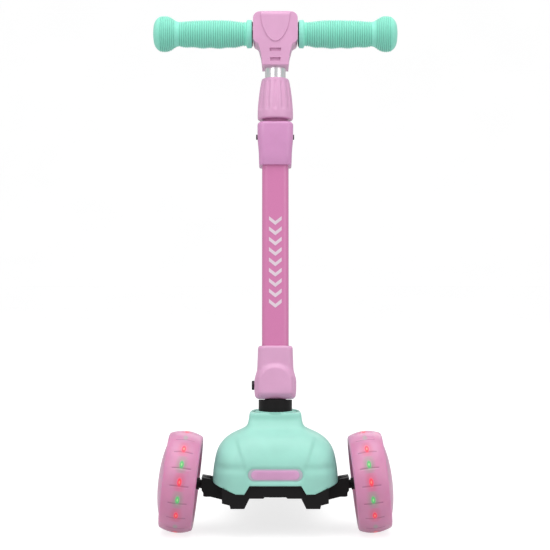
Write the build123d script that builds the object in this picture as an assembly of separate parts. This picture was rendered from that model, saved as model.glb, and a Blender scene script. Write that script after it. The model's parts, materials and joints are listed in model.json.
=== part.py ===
from build123d import *
import math
import os

# Folding three-wheeled kick scooter. Millimetres, +Z up, front towards -Y.
# The origin is the middle of the overall box, on the ground.

# ---- overall layout ----
wheelbase = 420.0           # front axle line to rear axle
rear_overhang = 52.0        # rear axle to the tip of the fender
pivot_height = 172.0        # ground to the fold pivot
stem_lean = 6.0             # degrees that the stem leans back
bar_width = 298.0           # tip to tip of the grips
grip_height = 427.0         # fold pivot to the grip axis, along the stem

# ---- fits ----
running_gap = 0.05          # radial play of a shaft in its bearing or bush
free_gap = 0.3              # between pieces that move past each other
link_gap = 0.3              # play of the steering links, which turn through an arc

# ---- front wheels ----
front_radius = 60.0
front_width = 38.5
front_crown = 40.0          # section radius of the tread
camber = 6.7                # degrees that the wheel tops lean inward
front_track = 222.0         # between the middles of the front wheels
core_rim_radius = 40.0
core_width = 26.0
dome_height = 6.5           # hub cap, proud of the tyre's side
dome_radius = 46.0
light_count = 18
light_radius = 46.5
spoke_count = 6

# ---- bearings and axles ----
bearing_outer = 11.0
bearing_bore = 4.0
bearing_width = 7.0
bearing_face = 15.0         # wheel middle to the outer face of a bearing

# ---- steering ----
kingpin_inset = 31.0        # middle of a front wheel to its kingpin
kingpin_radius = 3.0
pin_head_radius = 4.2
barrel_radius = 6.5
barrel_bottom = 50.4
barrel_top = 61.6
lever_top = 60.6            # steering lever, which swings in under the bonnet's skirt
arm_overhang = 6.7          # kingpin to the end of its arm
arm_half_depth = 14.0
arm_bottom = 46.5
arm_top = 66.7
knuckle_lever = 38.0        # kingpin to the tie-rod pin
link_pin_radius = 3.0
tie_bottom = 53.0
tie_top = 57.0
lean_height = 108.0         # ground to the lean shaft
lean_offset = 15.0          # front axle line to the column, at the lean shaft
foot_height = 55.0          # ground to the foot of the lean lever
foot_radius = 4.0
lean_shaft_radius = 5.0
hub_radius = 13.0
hub_front = -5.5            # hub ends, from the front axle line
hub_rear = 45.5
bush_flange = 1.5

# ---- chassis and bonnet ----
chassis_bottom = 46.0
floor_thickness = 4.0
floor_half_width = 58.0
wall = 3.0
bonnet_top = 142.0
bonnet_front = 45.0         # ahead of the front axle line
bonnet_rear = 96.0
neck_half_width = 31.0
badge_width = 56.0
badge_height = 11.0
badge_z = 74.0

# ---- deck ----
deck_top = 70.0
deck_thickness = 20.0
deck_half_width = 62.5
deck_tail_half_width = 37.0
deck_start = 70.0           # behind the front axle line
deck_skin = 4.0
mat_start = 106.0
mat_margin = 9.0
mat_thickness = 2.5

# ---- rear wheel and brake ----
rear_radius = 40.0
rear_width = 36.0
rear_crown = 34.0
rear_core_radius = 24.0
rear_fork_gap = 22.5        # middle to the inside of a fork leg
rear_leg = 9.0              # thickness of a fork leg
fender_gap = 4.0
fender_skin = 3.0
fender_half_width = 21.5
brake_pin_ahead = 44.0      # rear axle to the brake pin, forward
brake_pin_above = 22.0      # rear axle to the brake pin, upward
brake_pin_radius = 2.5

# ---- column and fold, along the stem from the fold pivot ----
tongue_radius = 12.0
tongue_half_width = 12.5
pivot_radius = 5.0
pivot_nut_corner = 9.0
pivot_nut_height = 4.5
collar_radius = 20.0
collar_top = -16.9
collar_bottom = -36.0
post_radius = 15.0
block_top = 47.0
block_half_width = 20.8
cheek_half_width = 25.2
block_front = 19.0
block_back = 21.0
block_heel = 16.3           # round heel of the cheeks, about the pivot
web_bottom = 13.5
web_top = 28.0
latch_radius = 3.0
latch_arm = 4.0             # half width of the arm from the lock pin to the button
latch_travel = 4.5          # drop of the pin into a notch of the tongue
latch_rest = 12.4           # tip of the pin when it is let go
fold_angle = 83.0

# ---- stem ----
tube_side = 32.0
tube_corner = 7.0
tube_wall = 1.8
tube_start = 29.0
sleeve_bottom = 264.0       # upper collar, around the top of the stem tube
sleeve_top = 316.6
sleeve_half_width = 21.5
sleeve_foot_half_width = 19.5
bolt_level = 303.0
sleeve_socket = 26.0        # how far the stem tube goes up into the collar
knob_bottom = 321.0
knob_top = 373.0
knob_bottom_radius = 21.5
knob_top_radius = 16.5
knob_flute = 6.0            # radius of a flute
knob_flutes = 14
collet_radius = 15.0
collet_top = 345.0
inner_radius = 12.5
inner_wall = 1.5
height_travel = 130.0       # the bar's range
tube_left = 44.0            # inner tube still below the collar when the bar is right up
inner_start = sleeve_bottom - height_travel - tube_left

# ---- bar and head ----
head_bottom = 385.0
head_top = 451.0
head_half_width = 27.5
head_foot_half_width = 16.0
head_half_depth = 20.0
crossbar_radius = 11.0
crossbar_wall = 1.5
grip_start = 28.6
grip_bulb_radius = 21.5
grip_body_radius = 16.0

# ---- worked out from the sizes above ----
kingpin_x = front_track / 2 - kingpin_inset
arm_end = kingpin_x + arm_overhang
front_axle = front_radius - (front_radius + wheelbase + rear_overhang) / 2
rear_axle = front_axle + wheelbase
wheel_z = (front_radius - front_crown) * math.cos(math.radians(camber)) + front_crown
column_y = front_axle + lean_offset
pivot_y = column_y + (pivot_height - lean_height) * math.tan(math.radians(stem_lean))
deck_y = front_axle + deck_start
deck_end = rear_axle - rear_radius - 10
link_y = front_axle + knuckle_lever
stem_place = Location((0, pivot_y, pivot_height), (-stem_lean, 0, 0))
brake_pin_y = rear_axle - brake_pin_ahead
brake_pin_z = rear_radius + brake_pin_above


# ---- shape helpers ----
def box(x0, x1, y0, y1, z0, z1):
    return Pos((x0 + x1) / 2, (y0 + y1) / 2, (z0 + z1) / 2) * Box(x1 - x0, y1 - y0, z1 - z0)


def rod(radius, start, end):
    start, end = Vector(*start), Vector(*end)
    return extrude(Plane(start, z_dir=end - start) * Circle(radius), (end - start).length)


def pipe(outer, inner, start, end):
    return rod(outer, start, end) - rod(inner, start, end)


def across(points, x0, x1):
    """A (y, z) outline carried along X."""
    face = make_face(Plane.YZ * Polyline(*points, close=True))
    return Pos((x0 + x1) / 2, 0, 0) * extrude(face, (x1 - x0) / 2, both=True)


def along(points, y0, y1):
    """An (x, z) outline carried along Y."""
    face = make_face(Plane.XZ * Polyline(*points, close=True))
    return Pos(0, (y0 + y1) / 2, 0) * extrude(face, (y1 - y0) / 2, both=True)


def square_bar(side, corner, z0, z1):
    return Pos(0, 0, z0) * extrude(RectangleRounded(side, side, corner), z1 - z0)


def both(make):
    """The same piece on the left and on the right."""
    return make(-1) + make(1)


def wheel_place(side):
    lean = math.radians(camber)
    outward = (side * math.cos(lean), 0, math.sin(lean))
    middle = (side * front_track / 2, front_axle, wheel_z)
    return Plane(middle, x_dir=(0, 1, 0), z_dir=outward).location


def rear_place():
    return Plane((0, rear_axle, rear_radius), x_dir=(0, 1, 0), z_dir=(1, 0, 0)).location


def ring_of(count, piece):
    return [Rot(0, 0, 360 * n / count) * piece for n in range(count)]


def outline_of_tyre(radius, width, crown, bore, seat):
    """Half section of a crowned tyre: tread arc, rounded sides and a bore."""
    half = width / 2
    centre = radius - crown
    shoulder = centre + math.sqrt(crown**2 - half**2)
    tread = ThreePointArc((shoulder, -half), (radius, 0), (shoulder, half))
    sides = Polyline((shoulder, half), (bore + 4, half), (bore, seat), (bore, -seat),
                     (bore + 4, -half), (shoulder, -half))
    return make_face(Plane.XZ * (tread + sides))


# ---- front wheels ----
light_size = 5.0
light_depth = 4.0
light_band = 5.0            # half width of the light ring


def front_tyre(side):
    body = revolve(outline_of_tyre(front_radius, front_width, front_crown,
                                   core_rim_radius, core_width / 2), Axis.Z)
    channel = (Cylinder(light_radius + free_gap, 2 * (light_band + free_gap))
               - Cylinder(core_rim_radius - 1, 2 * (light_band + free_gap)))
    pocket = Pos(light_radius + light_depth / 2, 0, 0) * Box(
        light_depth + 2 * free_gap, light_size + 2 * free_gap, light_size + 2 * free_gap)
    recess = Pos(0, 0, front_width / 2) * Cylinder(dome_radius, 2 * wall)
    body = body - channel - ring_of(light_count, pocket) - recess
    return wheel_place(side) * body


def light_ring(side):
    band = Cylinder(light_radius, 2 * light_band) - Cylinder(core_rim_radius, 2 * light_band)
    light = Pos(light_radius + light_depth / 2 - 0.5, 0, 0) * Box(light_depth + 1, light_size, light_size)
    return wheel_place(side) * (band + ring_of(light_count, light))


def front_core(side):
    hub_outer = bearing_outer + 3.5
    half = core_width / 2
    rim = Cylinder(core_rim_radius, 2 * half) - Cylinder(core_rim_radius - 4, 2 * half)
    hub = Cylinder(hub_outer, 2 * bearing_face)
    web = Cylinder(core_rim_radius - 2, 5) - Cylinder(hub_outer - 1, 5)
    window = Pos((hub_outer + core_rim_radius - 4) / 2, 0, 0) * Cylinder(5.5, 10)
    spoke = Pos((hub_outer + core_rim_radius - 4) / 2, 0, 0) * Box(
        core_rim_radius - hub_outer, 4, core_width - 6)
    body = rim + hub + (web - ring_of(2 * spoke_count, window))
    body = body + [Rot(0, 0, 180 / (2 * spoke_count)) * s for s in ring_of(spoke_count, spoke)]
    seat_middle = bearing_face - bearing_width / 2
    seats = [Pos(0, 0, s * seat_middle) * Cylinder(bearing_outer, bearing_width) for s in (-1, 1)]
    return wheel_place(side) * (body - seats - Cylinder(bearing_outer - 2, 4 * bearing_face))


def bearing_pair(face, place):
    def one(sign):
        middle = face - bearing_width / 2
        body = Cylinder(bearing_outer, bearing_width) - Cylinder(bearing_bore, bearing_width)
        shield = Cylinder(bearing_outer - 2.5, 0.8) - Cylinder(bearing_bore + 2, 0.8)
        ends = [Pos(0, 0, e * (bearing_width / 2 - 0.4)) * shield for e in (-1, 1)]
        return Pos(0, 0, sign * middle) * (body - ends)
    return place * both(one)


def hub_cap(side):
    """A shallow dome over the whole outer side, hollow over the bolt head."""
    base = front_width / 2 - wall
    crest = front_width / 2 + dome_height
    shoulder = front_width / 2
    profile = (Polyline((0, crest - wall), (0, crest)) + ThreePointArc(
        (0, crest), (dome_radius * 0.72, shoulder + dome_height * 0.56), (dome_radius, shoulder))
        + Polyline((dome_radius, shoulder), (dome_radius, base), (core_rim_radius - 4, base),
                   (bearing_outer + 6, base + 1), (9, crest - wall - 0.5), (0, crest - wall)))
    return wheel_place(side) * revolve(make_face(Plane.XZ * profile), Axis.Z)


bolt_head_radius = 6.5
bolt_head_height = 4.0
bolt_reach = 27.0           # wheel middle to the inner end of the axle bolt


def axle_bolt(side):
    radius = bearing_bore - running_gap
    shank = Pos(0, 0, -bolt_reach) * Cylinder(
        radius, bolt_reach + bearing_face, align=(Align.CENTER, Align.CENTER, Align.MIN))
    head = Pos(0, 0, bearing_face + bolt_head_height / 2) * extrude(
        RegularPolygon(bolt_head_radius, 6), bolt_head_height / 2, both=True)
    return wheel_place(side) * (shank + head)


def magnet_sleeve(side):
    half = bearing_face - bearing_width
    magnets = (Cylinder(8, 2 * half - 3) - Cylinder(6, 2 * half - 3))
    body = Cylinder(6, 2 * half) + magnets - Cylinder(bearing_bore, 2 * half)
    return wheel_place(side) * body


# ---- steering ----
def knuckle(side):
    barrel = rod(barrel_radius, (side * kingpin_x, front_axle, barrel_bottom),
                 (side * kingpin_x, front_axle, barrel_top))
    stub = wheel_place(side) * (Pos(0, 0, -bearing_face - 8) * Cylinder(5.2, 16)
                                + Pos(0, 0, -bearing_face - 4) * Cylinder(7, 5)
                                + Pos(0, 0, -bearing_face - 1) * Cylinder(6, 2))
    lever = box(side * kingpin_x - 5, side * kingpin_x + 5, front_axle, link_y,
                tie_top + free_gap * 2, lever_top)
    eye = rod(5, (side * kingpin_x, link_y, tie_top + free_gap * 2),
              (side * kingpin_x, link_y, lever_top))
    pin = rod(link_pin_radius, (side * kingpin_x, link_y, tie_bottom - 1),
              (side * kingpin_x, link_y, lever_top))
    reach = arm_end + 1
    neck = box(-reach, reach, front_axle - 20, front_axle + 20, 0, 120)
    stub = (stub - neck) + (stub & box(-reach, reach, front_axle - 20, front_axle + 20,
                                       barrel_bottom, barrel_top))
    bore = rod(kingpin_radius + running_gap, (side * kingpin_x, front_axle, 0),
               (side * kingpin_x, front_axle, 100))
    thread = wheel_place(side) * (Pos(0, 0, -30) * Cylinder(bearing_bore - running_gap, 60))
    end_stop = wheel_place(side) * (Pos(0, 0, -bolt_reach - 15) * Cylinder(8, 30))
    return barrel + stub + lever + eye + pin - (thread - end_stop) - bore


def kingpin(side):
    x = side * kingpin_x
    shank = rod(kingpin_radius, (x, front_axle, arm_bottom - 4), (x, front_axle, arm_top - 2.6))
    head = rod(pin_head_radius, (x, front_axle, arm_top - 2.6), (x, front_axle, arm_top))
    socket = extrude(Plane((x, front_axle, arm_top - 1.6)) * RegularPolygon(2, 6), 3)
    return shank + head - socket


def kingpin_nut(side):
    plane = Plane((side * kingpin_x, front_axle, arm_bottom - 4))
    return extrude(plane * RegularPolygon(5.5, 6), 4) - extrude(plane * Circle(kingpin_radius), 4)


def tie_rod():
    """A flat bar with a slotted eye at each end and a window for the lever's foot."""
    bar = box(-kingpin_x, kingpin_x, link_y - 4, link_y + 4, tie_bottom, tie_top)
    eyes = both(lambda s: rod(6.5, (s * kingpin_x, link_y, tie_bottom), (s * kingpin_x, link_y, tie_top)))
    window = foot_radius + link_gap
    centre = box(-12, 12, link_y - 11, link_y + 9, tie_bottom - 1, tie_top + 3)
    hole = box(-window, window, link_y - 8, link_y + 6, 0, 100)
    slot_radius = link_pin_radius + link_gap
    slots = both(lambda s: Pos(s * kingpin_x, link_y - 0.4, tie_bottom - 1) * extrude(
        Rot(0, 0, 90) * SlotCenterToCenter(1.2, 2 * slot_radius), 10))
    return bar + eyes + centre - hole - slots


def lean_shaft():
    y0, y1 = front_axle - 16, front_axle + 60
    shank = rod(lean_shaft_radius, (0, y0, lean_height), (0, y1, lean_height))
    head = extrude(Plane((0, y0 - 4.5, lean_height), z_dir=(0, 1, 0)) * RegularPolygon(8.5, 6), 4.5)
    return shank + head


def lean_nut():
    plane = Plane((0, front_axle + 54, lean_height), z_dir=(0, 1, 0))
    return extrude(plane * (RegularPolygon(9, 6) - Circle(lean_shaft_radius)), 6)


def lean_bushes():
    bore = lean_shaft_radius + running_gap
    outer = lean_shaft_radius + 2

    def one(end, inward):
        a = front_axle + end
        sleeve = pipe(outer, bore, (0, a, lean_height), (0, a + inward * 14, lean_height))
        flange = pipe(outer + 3, bore, (0, a - inward * bush_flange, lean_height), (0, a, lean_height))
        return sleeve + flange
    return one(hub_front, 1) + one(hub_rear, -1)


wing_half_width = 27.0
wing_bottom = 95.0
wing_top = 102.0
rubber_x = 20.0
shelf_top = 80.0


def column_post():
    """Lean hub, lever, leaning post, dust collar and the fold tongue, in one casting."""
    y0, y1 = front_axle + hub_front, front_axle + hub_rear
    hub = rod(hub_radius, (0, y0, lean_height), (0, y1, lean_height))
    wings = box(-wing_half_width, wing_half_width, column_y - 9, column_y + 9, wing_bottom, wing_top)
    lever = across([(front_axle + 12, wing_bottom + 4), (link_y - 4, foot_height),
                    (link_y + 3, foot_height), (front_axle + 36, wing_bottom + 4)], -3, 3)
    foot = rod(foot_radius, (0, link_y - 3.5, foot_height), (0, link_y + 3.5, foot_height))
    post = rod(post_radius, (0, 0, -58), (0, 0, collar_bottom))
    collar = fillet(rod(collar_radius, (0, 0, collar_bottom), (0, 0, collar_top)).edges(), 1)
    tongue = (rod(tongue_radius, (-tongue_half_width, 0, 0), (tongue_half_width, 0, 0))
              + box(-tongue_half_width, tongue_half_width, -tongue_radius, tongue_radius,
                    collar_top - 1, 0))
    notch_floor = latch_rest - latch_travel - 1.1
    notch = rod(latch_radius + free_gap, (0, 0, notch_floor), (0, 0, web_top))
    notches = [notch, Rot(-fold_angle, 0, 0) * notch]
    upper = post + collar + tongue - notches
    upper = upper - rod(pivot_radius + running_gap, (-30, 0, 0), (30, 0, 0))
    body = stem_place * upper + hub + wings + lever + foot
    bore = rod(lean_shaft_radius + 1, (0, y0 - 1, lean_height), (0, y1 + 1, lean_height))
    seat = lean_shaft_radius + 2
    seats = [rod(seat, (0, y0 - 1, lean_height), (0, y0 + 14, lean_height)),
             rod(seat, (0, y1 - 14, lean_height), (0, y1 + 1, lean_height))]
    return body - bore - seats


def centring_rubbers():
    def one(side):
        x = side * rubber_x
        low = pipe(6.5, 2, (x, column_y, shelf_top), (x, column_y, shelf_top + 6))
        mid = pipe(5.2, 2, (x, column_y, shelf_top + 6), (x, column_y, shelf_top + 9))
        top = pipe(6.5, 2, (x, column_y, shelf_top + 9), (x, column_y, wing_bottom))
        return low + mid + top
    return both(one)


# ---- chassis and bonnet ----
foot_outer = 52.0
skirt_half_width = 73.0
foot_inner = 36.0
foot_bottom = 34.0
recess_half_width = 30.0
recess_top = 61.0
lobe_bottom = 51.0


def mirrored(right):
    """Right-hand points, then the same points on the left, back to the start."""
    return right + [(-x, z) for x, z in reversed(right)]


def skirt_line():
    """Where the bonnet's skirt meets the chassis, from the outside inwards."""
    return [(arm_end, arm_top), (arm_end - 10, arm_top - 1.5), (skirt_half_width, 62), (46, lobe_bottom),
            (foot_inner, lobe_bottom), (recess_half_width, recess_top)]


def chassis_front_outline():
    right = [(recess_half_width, chassis_bottom), (foot_inner, foot_bottom), (foot_outer, foot_bottom),
             (foot_outer + 1, foot_bottom + 4), (70, arm_bottom - 4), (arm_end - 4, arm_bottom - 1),
             (arm_end, arm_bottom + 5)] + skirt_line()
    left = [(-x, z) for x, z in reversed(right)]
    return right + left + [(-14, chassis_bottom), (-11, chassis_bottom + 3), (-7, chassis_bottom + 1.5),
                           (7, chassis_bottom + 1.5), (11, chassis_bottom + 3), (14, chassis_bottom)]


def front_chassis():
    """Front beam with the two wheel arms, the floor, the lean tower and the tail under the deck."""
    outline = along(chassis_front_outline(), front_axle - 40, front_axle + arm_half_depth)
    arms_only = both(lambda s: box(min(s * 62, s * 95), max(s * 62, s * 95),
                                   front_axle - 41, front_axle - arm_half_depth, 0, 80))
    floor = box(-floor_half_width, floor_half_width, front_axle - 30, deck_y + 62,
                chassis_bottom, chassis_bottom + floor_thickness)
    plate_outline = [(-15, chassis_bottom), (15, chassis_bottom), (15, lean_height + 4),
                     (8, lean_height + 11), (-8, lean_height + 11), (-15, lean_height + 4)]
    front_plate = along(plate_outline, front_axle - 16, front_axle + hub_front - bush_flange - 0.2)
    rear_plate = along(plate_outline, front_axle + hub_rear + bush_flange + 0.2, front_axle + 54)
    shelves = both(lambda s: box(min(s * 12, s * 29), max(s * 12, s * 29), column_y - 9, column_y + 9,
                                 chassis_bottom, shelf_top))
    gussets = both(lambda s: across([(front_axle + 54, chassis_bottom), (deck_y + 55, chassis_bottom),
                                     (deck_y - 2, 64), (front_axle + 54, 100)],
                                    s * 12 - 1.5, s * 12 + 1.5))
    body = (outline - arms_only) + floor + front_plate + rear_plate + shelves
    gussets = gussets & box(-30, 30, front_axle + 50, deck_y - 1, 0, 200)
    body = body + gussets
    pocket = both(lambda s: box(min(s * 18, s * 56), max(s * 18, s * 56), front_axle - 33, front_axle + 2,
                                chassis_bottom + floor_thickness, 58))
    hollow = box(-26, 26, front_axle - 33, front_axle - 17, chassis_bottom + floor_thickness, 70)
    fork = both(lambda s: box(min(s * (kingpin_x - 10), s * 95), max(s * (kingpin_x - 10), s * 95),
                              front_axle - arm_half_depth + 3, front_axle + 20,
                              barrel_bottom - free_gap, barrel_top + free_gap))
    lever_room = box(-9, 9, front_axle + 2, front_axle + 30, chassis_bottom + floor_thickness, 90)
    bores = both(lambda s: rod(kingpin_radius, (s * kingpin_x, front_axle, 0),
                               (s * kingpin_x, front_axle, 100)))
    heads = both(lambda s: rod(pin_head_radius + 0.2, (s * kingpin_x, front_axle, arm_top - 2.6),
                               (s * kingpin_x, front_axle, 100))
                 + rod(6.2, (s * kingpin_x, front_axle, 0), (s * kingpin_x, front_axle, arm_bottom)))
    shaft = rod(lean_shaft_radius, (0, front_axle - 40, lean_height), (0, front_axle + 80, lean_height))
    holes = [rod(screw_radius, (x, y, 0), (x, y, chassis_bottom + floor_thickness + 1))
             for x, y in tail_screws()]
    return body - pocket - hollow - fork - lever_room - bores - heads - shaft - holes


screw_radius = 2.0
screw_head_radius = 4.0


def tail_screws():
    return [(x, y) for x in (-44, 44) for y in (deck_y + 14, deck_y + 50)]


def panel_screw(x, y, base, length):
    head = rod(screw_head_radius, (x, y, base - 2), (x, y, base))
    shank = rod(screw_radius, (x, y, base), (x, y, base + length))
    cross = box(x - 2.5, x + 2.5, y - 0.5, y + 0.5, base - 2, base - 1) + \
        box(x - 0.5, x + 0.5, y - 2.5, y + 2.5, base - 2, base - 1)
    return head + shank - cross


def chassis_screws():
    return [panel_screw(x, y, chassis_bottom, floor_thickness + 8) for x, y in tail_screws()]


def bonnet_form(shrink):
    """Lofted body: rounded sections from the skirt up to the neck."""
    sections = [  # height, half width, front and rear from the axle line, corner
        (48.0, 74.0, bonnet_front - 1.5, bonnet_rear, 34.0),
        (72.0, 74.5, bonnet_front, bonnet_rear - 3, 34.0),
        (98.0, 68.5, bonnet_front - 6, bonnet_rear - 14, 33.0),
        (109.0, 60.5, bonnet_front - 12, bonnet_rear - 21, 30.0),
        (116.0, 50.0, bonnet_front - 19, bonnet_rear - 28, 26.0),
        (122.5, 38.0, bonnet_front - 29, bonnet_rear - 37, 22.0),
        (130.0, neck_half_width + 1.2, bonnet_front - 36, bonnet_rear - 45, 19.0),
        (bonnet_top, neck_half_width, bonnet_front - 39, bonnet_rear - 47, 18.0),
    ]
    faces = []
    for z, half, front, rear, corner in sections:
        if z == bonnet_top:
            z -= shrink
        width = 2 * (half - shrink)
        depth = front + rear - 2 * shrink
        middle = front_axle + (rear - front) / 2
        faces.append(Pos(0, middle, z) * RectangleRounded(width, depth, corner - shrink))
    return loft(faces, ruled=True)


def bonnet():
    outer = bonnet_form(0)
    under = along(mirrored([(arm_end, 30)] + skirt_line()), front_axle - 80, front_axle + arm_half_depth + 6)
    over_deck = box(-100, 100, front_axle + arm_half_depth + 5.9, front_axle + 200, 0, deck_top)
    neck_y = column_y + (bonnet_top - lean_height) * math.tan(math.radians(stem_lean))
    opening = Pos(0, neck_y, bonnet_top - 20) * extrude(Ellipse(26.5, collar_radius + 2), 40)
    inside = bonnet_form(wall) + box(-floor_half_width, floor_half_width, front_axle - 36, deck_y + 8, 40, 52)
    body = outer - inside - under - over_deck - opening
    return body - badge_seat(0)


def badge_seat(gap):
    y = front_axle - bonnet_front
    pill = Plane((0, y + 2.2, badge_z), x_dir=(1, 0, 0), z_dir=(0, -1, 0)) * SlotOverall(
        badge_width + gap, badge_height + gap)
    return extrude(pill, 8)


def badge():
    """A ribbed strip let into the front of the bonnet."""
    y = front_axle - bonnet_front
    plate = Plane((0, y + 2.2, badge_z), x_dir=(1, 0, 0), z_dir=(0, -1, 0))
    body = extrude(plate * SlotOverall(badge_width, badge_height), 1.6)
    ribs = [box(x - 0.8, x + 0.8, y, y + 1, badge_z - 3.5, badge_z + 3.5)
            for x in range(-22, 23, 4)]
    return body + ribs


# ---- deck ----
def deck_outline(margin, start, end):
    """Plan of the deck: full width, then drawn in towards the rear wheel."""
    half, tail = deck_half_width - margin, deck_tail_half_width - margin
    waist = rear_axle - 150
    right = [(half - 14, start), (half, start + 22), (half, waist), (tail, end)]
    return make_face(Polyline(*(right + [(-x, y) for x, y in reversed(right)]), close=True))


def deck():
    bottom = deck_top - deck_thickness
    body = Pos(0, 0, bottom) * extrude(deck_outline(0, deck_y, deck_end), deck_thickness)
    body = fillet(body.edges().filter_by(Axis.Z, reverse=True).group_by(Axis.Z)[-1], 2.5)
    pocket = Pos(0, 0, bottom) * extrude(
        deck_outline(deck_skin + 1, deck_y + deck_skin, deck_end - 8), deck_thickness - deck_skin)
    ribs = [box(-deck_half_width, deck_half_width, y - 1.2, y + 1.2, bottom, deck_top)
            for y in range(int(deck_y) + 75, int(deck_end) - 20, 32)]
    spines = [box(x - 1.2, x + 1.2, deck_y, deck_end, bottom, deck_top) for x in (-24, 0, 24)]
    posts = [rod(6, (x, y, bottom), (x, y, deck_top)) for x, y in tail_screws()]
    inner = pocket - ribs - spines - posts
    legs = both(rear_leg_shape)
    screw_holes = [rod(screw_radius, (x, y, bottom - 1), (x, y, bottom + 8)) for x, y in tail_screws()]
    mat_seat = Pos(0, 0, deck_top - 1) * extrude(mat_face(), 5)
    body = body - inner + legs - screw_holes - mat_seat
    axle_hole = rod(bearing_bore, (-60, rear_axle, rear_radius), (60, rear_axle, rear_radius))
    pin_hole = rod(brake_pin_radius, (-60, brake_pin_y, brake_pin_z), (60, brake_pin_y, brake_pin_z))
    return body - axle_hole - pin_hole


def rear_leg_shape(side):
    """One leg of the rear fork, with the axle boss and the ear of the brake pin."""
    bottom = deck_top - deck_thickness
    outline = [(deck_end - 12, bottom), (deck_end - 12, deck_top - 2.5), (brake_pin_y + 6, deck_top),
               (rear_axle - 12, deck_top - 10), (rear_axle + 11, rear_radius + 6),
               (rear_axle + 11, rear_radius - 9), (rear_axle - 10, rear_radius - 11)]
    x0, x1 = sorted((side * rear_fork_gap, side * (rear_fork_gap + rear_leg)))
    leg = across(outline, x0, x1)
    return fillet(leg.edges().filter_by(Axis.X), 2)


def mat_face():
    return deck_outline(mat_margin, front_axle + mat_start, deck_end - 12)


mat_row_pitch = 9.0
mat_column_pitch = 12.0


def deck_mat():
    """A rubber mat let into the deck, with rows of raised grip bars."""
    body = Pos(0, 0, deck_top - 1) * extrude(mat_face(), mat_thickness)
    top = deck_top - 1 + mat_thickness
    start, end = front_axle + mat_start + 14, deck_end - 24
    rows = int((end - start) / mat_row_pitch)
    bars = []
    for row in range(rows):
        y = start + row * mat_row_pitch
        spread = deck_half_width - mat_margin - 10
        if y > rear_axle - 150:
            share = (y - (rear_axle - 150)) / (deck_end - (rear_axle - 150))
            spread -= share * (deck_half_width - deck_tail_half_width)
        count = int(spread / mat_column_pitch)
        shift = mat_column_pitch / 2 * (row % 2)
        for column in range(-count, count + 1 - row % 2):
            x = column * mat_column_pitch + shift
            bars.append(box(x - 3.5, x + 3.5, y - 1.2, y + 1.2, top - 0.2, top + 0.8))
    return body + bars


# ---- rear wheel and brake ----
def rear_tyre():
    return rear_place() * revolve(outline_of_tyre(rear_radius, rear_width, rear_crown,
                                                  rear_core_radius, rear_width / 2 - 4), Axis.Z)


def rear_core():
    half = rear_width / 2 - 4
    body = Cylinder(rear_core_radius, 2 * half) - Cylinder(rear_core_radius - 3.5, 2 * half)
    body = body + Cylinder(bearing_outer + 3, 2 * bearing_face) + Cylinder(rear_core_radius - 1, 4)
    seat_middle = bearing_face - bearing_width / 2
    seats = [Pos(0, 0, s * seat_middle) * Cylinder(bearing_outer, bearing_width) for s in (-1, 1)]
    return rear_place() * (body - seats - Cylinder(bearing_outer - 2, 4 * bearing_face))


def rear_spacers():
    """Between the bearings' inner rings and the fork legs, and between the two bearings."""
    inner, outer = bearing_bore, bearing_bore + 2
    gap = bearing_face - bearing_width
    middle = Cylinder(outer, 2 * gap) - Cylinder(inner, 2 * gap)
    length = rear_fork_gap - bearing_face
    side = Cylinder(outer, length) - Cylinder(inner, length)
    shift = bearing_face + length / 2
    return rear_place() * (middle + [Pos(0, 0, s * shift) * side for s in (-1, 1)])


def rear_axle_bolt():
    reach = rear_fork_gap + rear_leg
    radius = bearing_bore - running_gap
    shank = Cylinder(radius, 2 * reach + 6)
    head = Pos(0, 0, -reach - 5) * extrude(RegularPolygon(7, 6), 5)
    return rear_place() * (shank + head)


def rear_axle_nut():
    reach = rear_fork_gap + rear_leg
    nut = extrude(RegularPolygon(7, 6), 5) - Pos(0, 0, 2.5) * Cylinder(bearing_bore - running_gap, 5)
    return rear_place() * (Pos(0, 0, reach) * nut)


def fender_arc(inner, outer, first, last, half):
    """A piece of a ring about the rear axle, by angles from the rear, over the top."""
    ring = Cylinder(outer, 2 * half) - Cylinder(inner, 2 * half)
    reach = outer * 3
    steps = [first + (last - first) * n / 6 for n in range(7)]
    points = [(0, 0)] + [(reach * math.cos(math.radians(a)), reach * math.sin(math.radians(a)))
                         for a in steps]
    wedge = extrude(make_face(Polyline(*points, close=True)), half, both=True)
    return rear_place() * (ring & wedge)


def brake_fender():
    inner = rear_radius + fender_gap + 2
    outer = inner + fender_skin
    shell = fender_arc(inner, outer, 12, 142, fender_half_width)
    lips = both(lambda s: fender_arc(inner - 4, outer, 12, 142, fender_half_width)
                & box(min(s * (fender_half_width - 2), s * fender_half_width),
                      max(s * (fender_half_width - 2), s * fender_half_width),
                      rear_axle - 80, rear_axle + 80, 0, 200))
    lips = lips - rear_place() * Cylinder(rear_radius + 2.5, 60)
    start = math.radians(140)
    arm_y = rear_axle + (inner + 1) * math.cos(start)
    arm_z = rear_radius + (inner + 1) * math.sin(start)
    arm = across([(brake_pin_y - 5, brake_pin_z - 1), (brake_pin_y - 4, brake_pin_z + 5), (arm_y, arm_z + 3),
                  (arm_y + 3, arm_z - 1), (brake_pin_y + 4, brake_pin_z - 3)],
                 -fender_half_width + 0.5, fender_half_width - 0.5)
    arm = arm - rear_place() * Cylinder(rear_radius + 2, 100)
    barrel = rod(5, (-fender_half_width + 0.5, brake_pin_y, brake_pin_z),
                 (fender_half_width - 0.5, brake_pin_y, brake_pin_z))
    tail_z = rear_radius + outer * math.sin(math.radians(14))
    tail = box(-fender_half_width + 4, fender_half_width - 4, rear_axle + inner - 0.5,
               rear_axle + rear_overhang, tail_z - 2.5, tail_z + 1)
    bore = rod(brake_pin_radius + running_gap, (-60, brake_pin_y, brake_pin_z),
               (60, brake_pin_y, brake_pin_z))
    notch = box(-4, 4, brake_pin_y - 8, brake_pin_y + 8, brake_pin_z - 8, brake_pin_z + 8)
    return shell + lips + arm + barrel + tail - bore - notch


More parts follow.
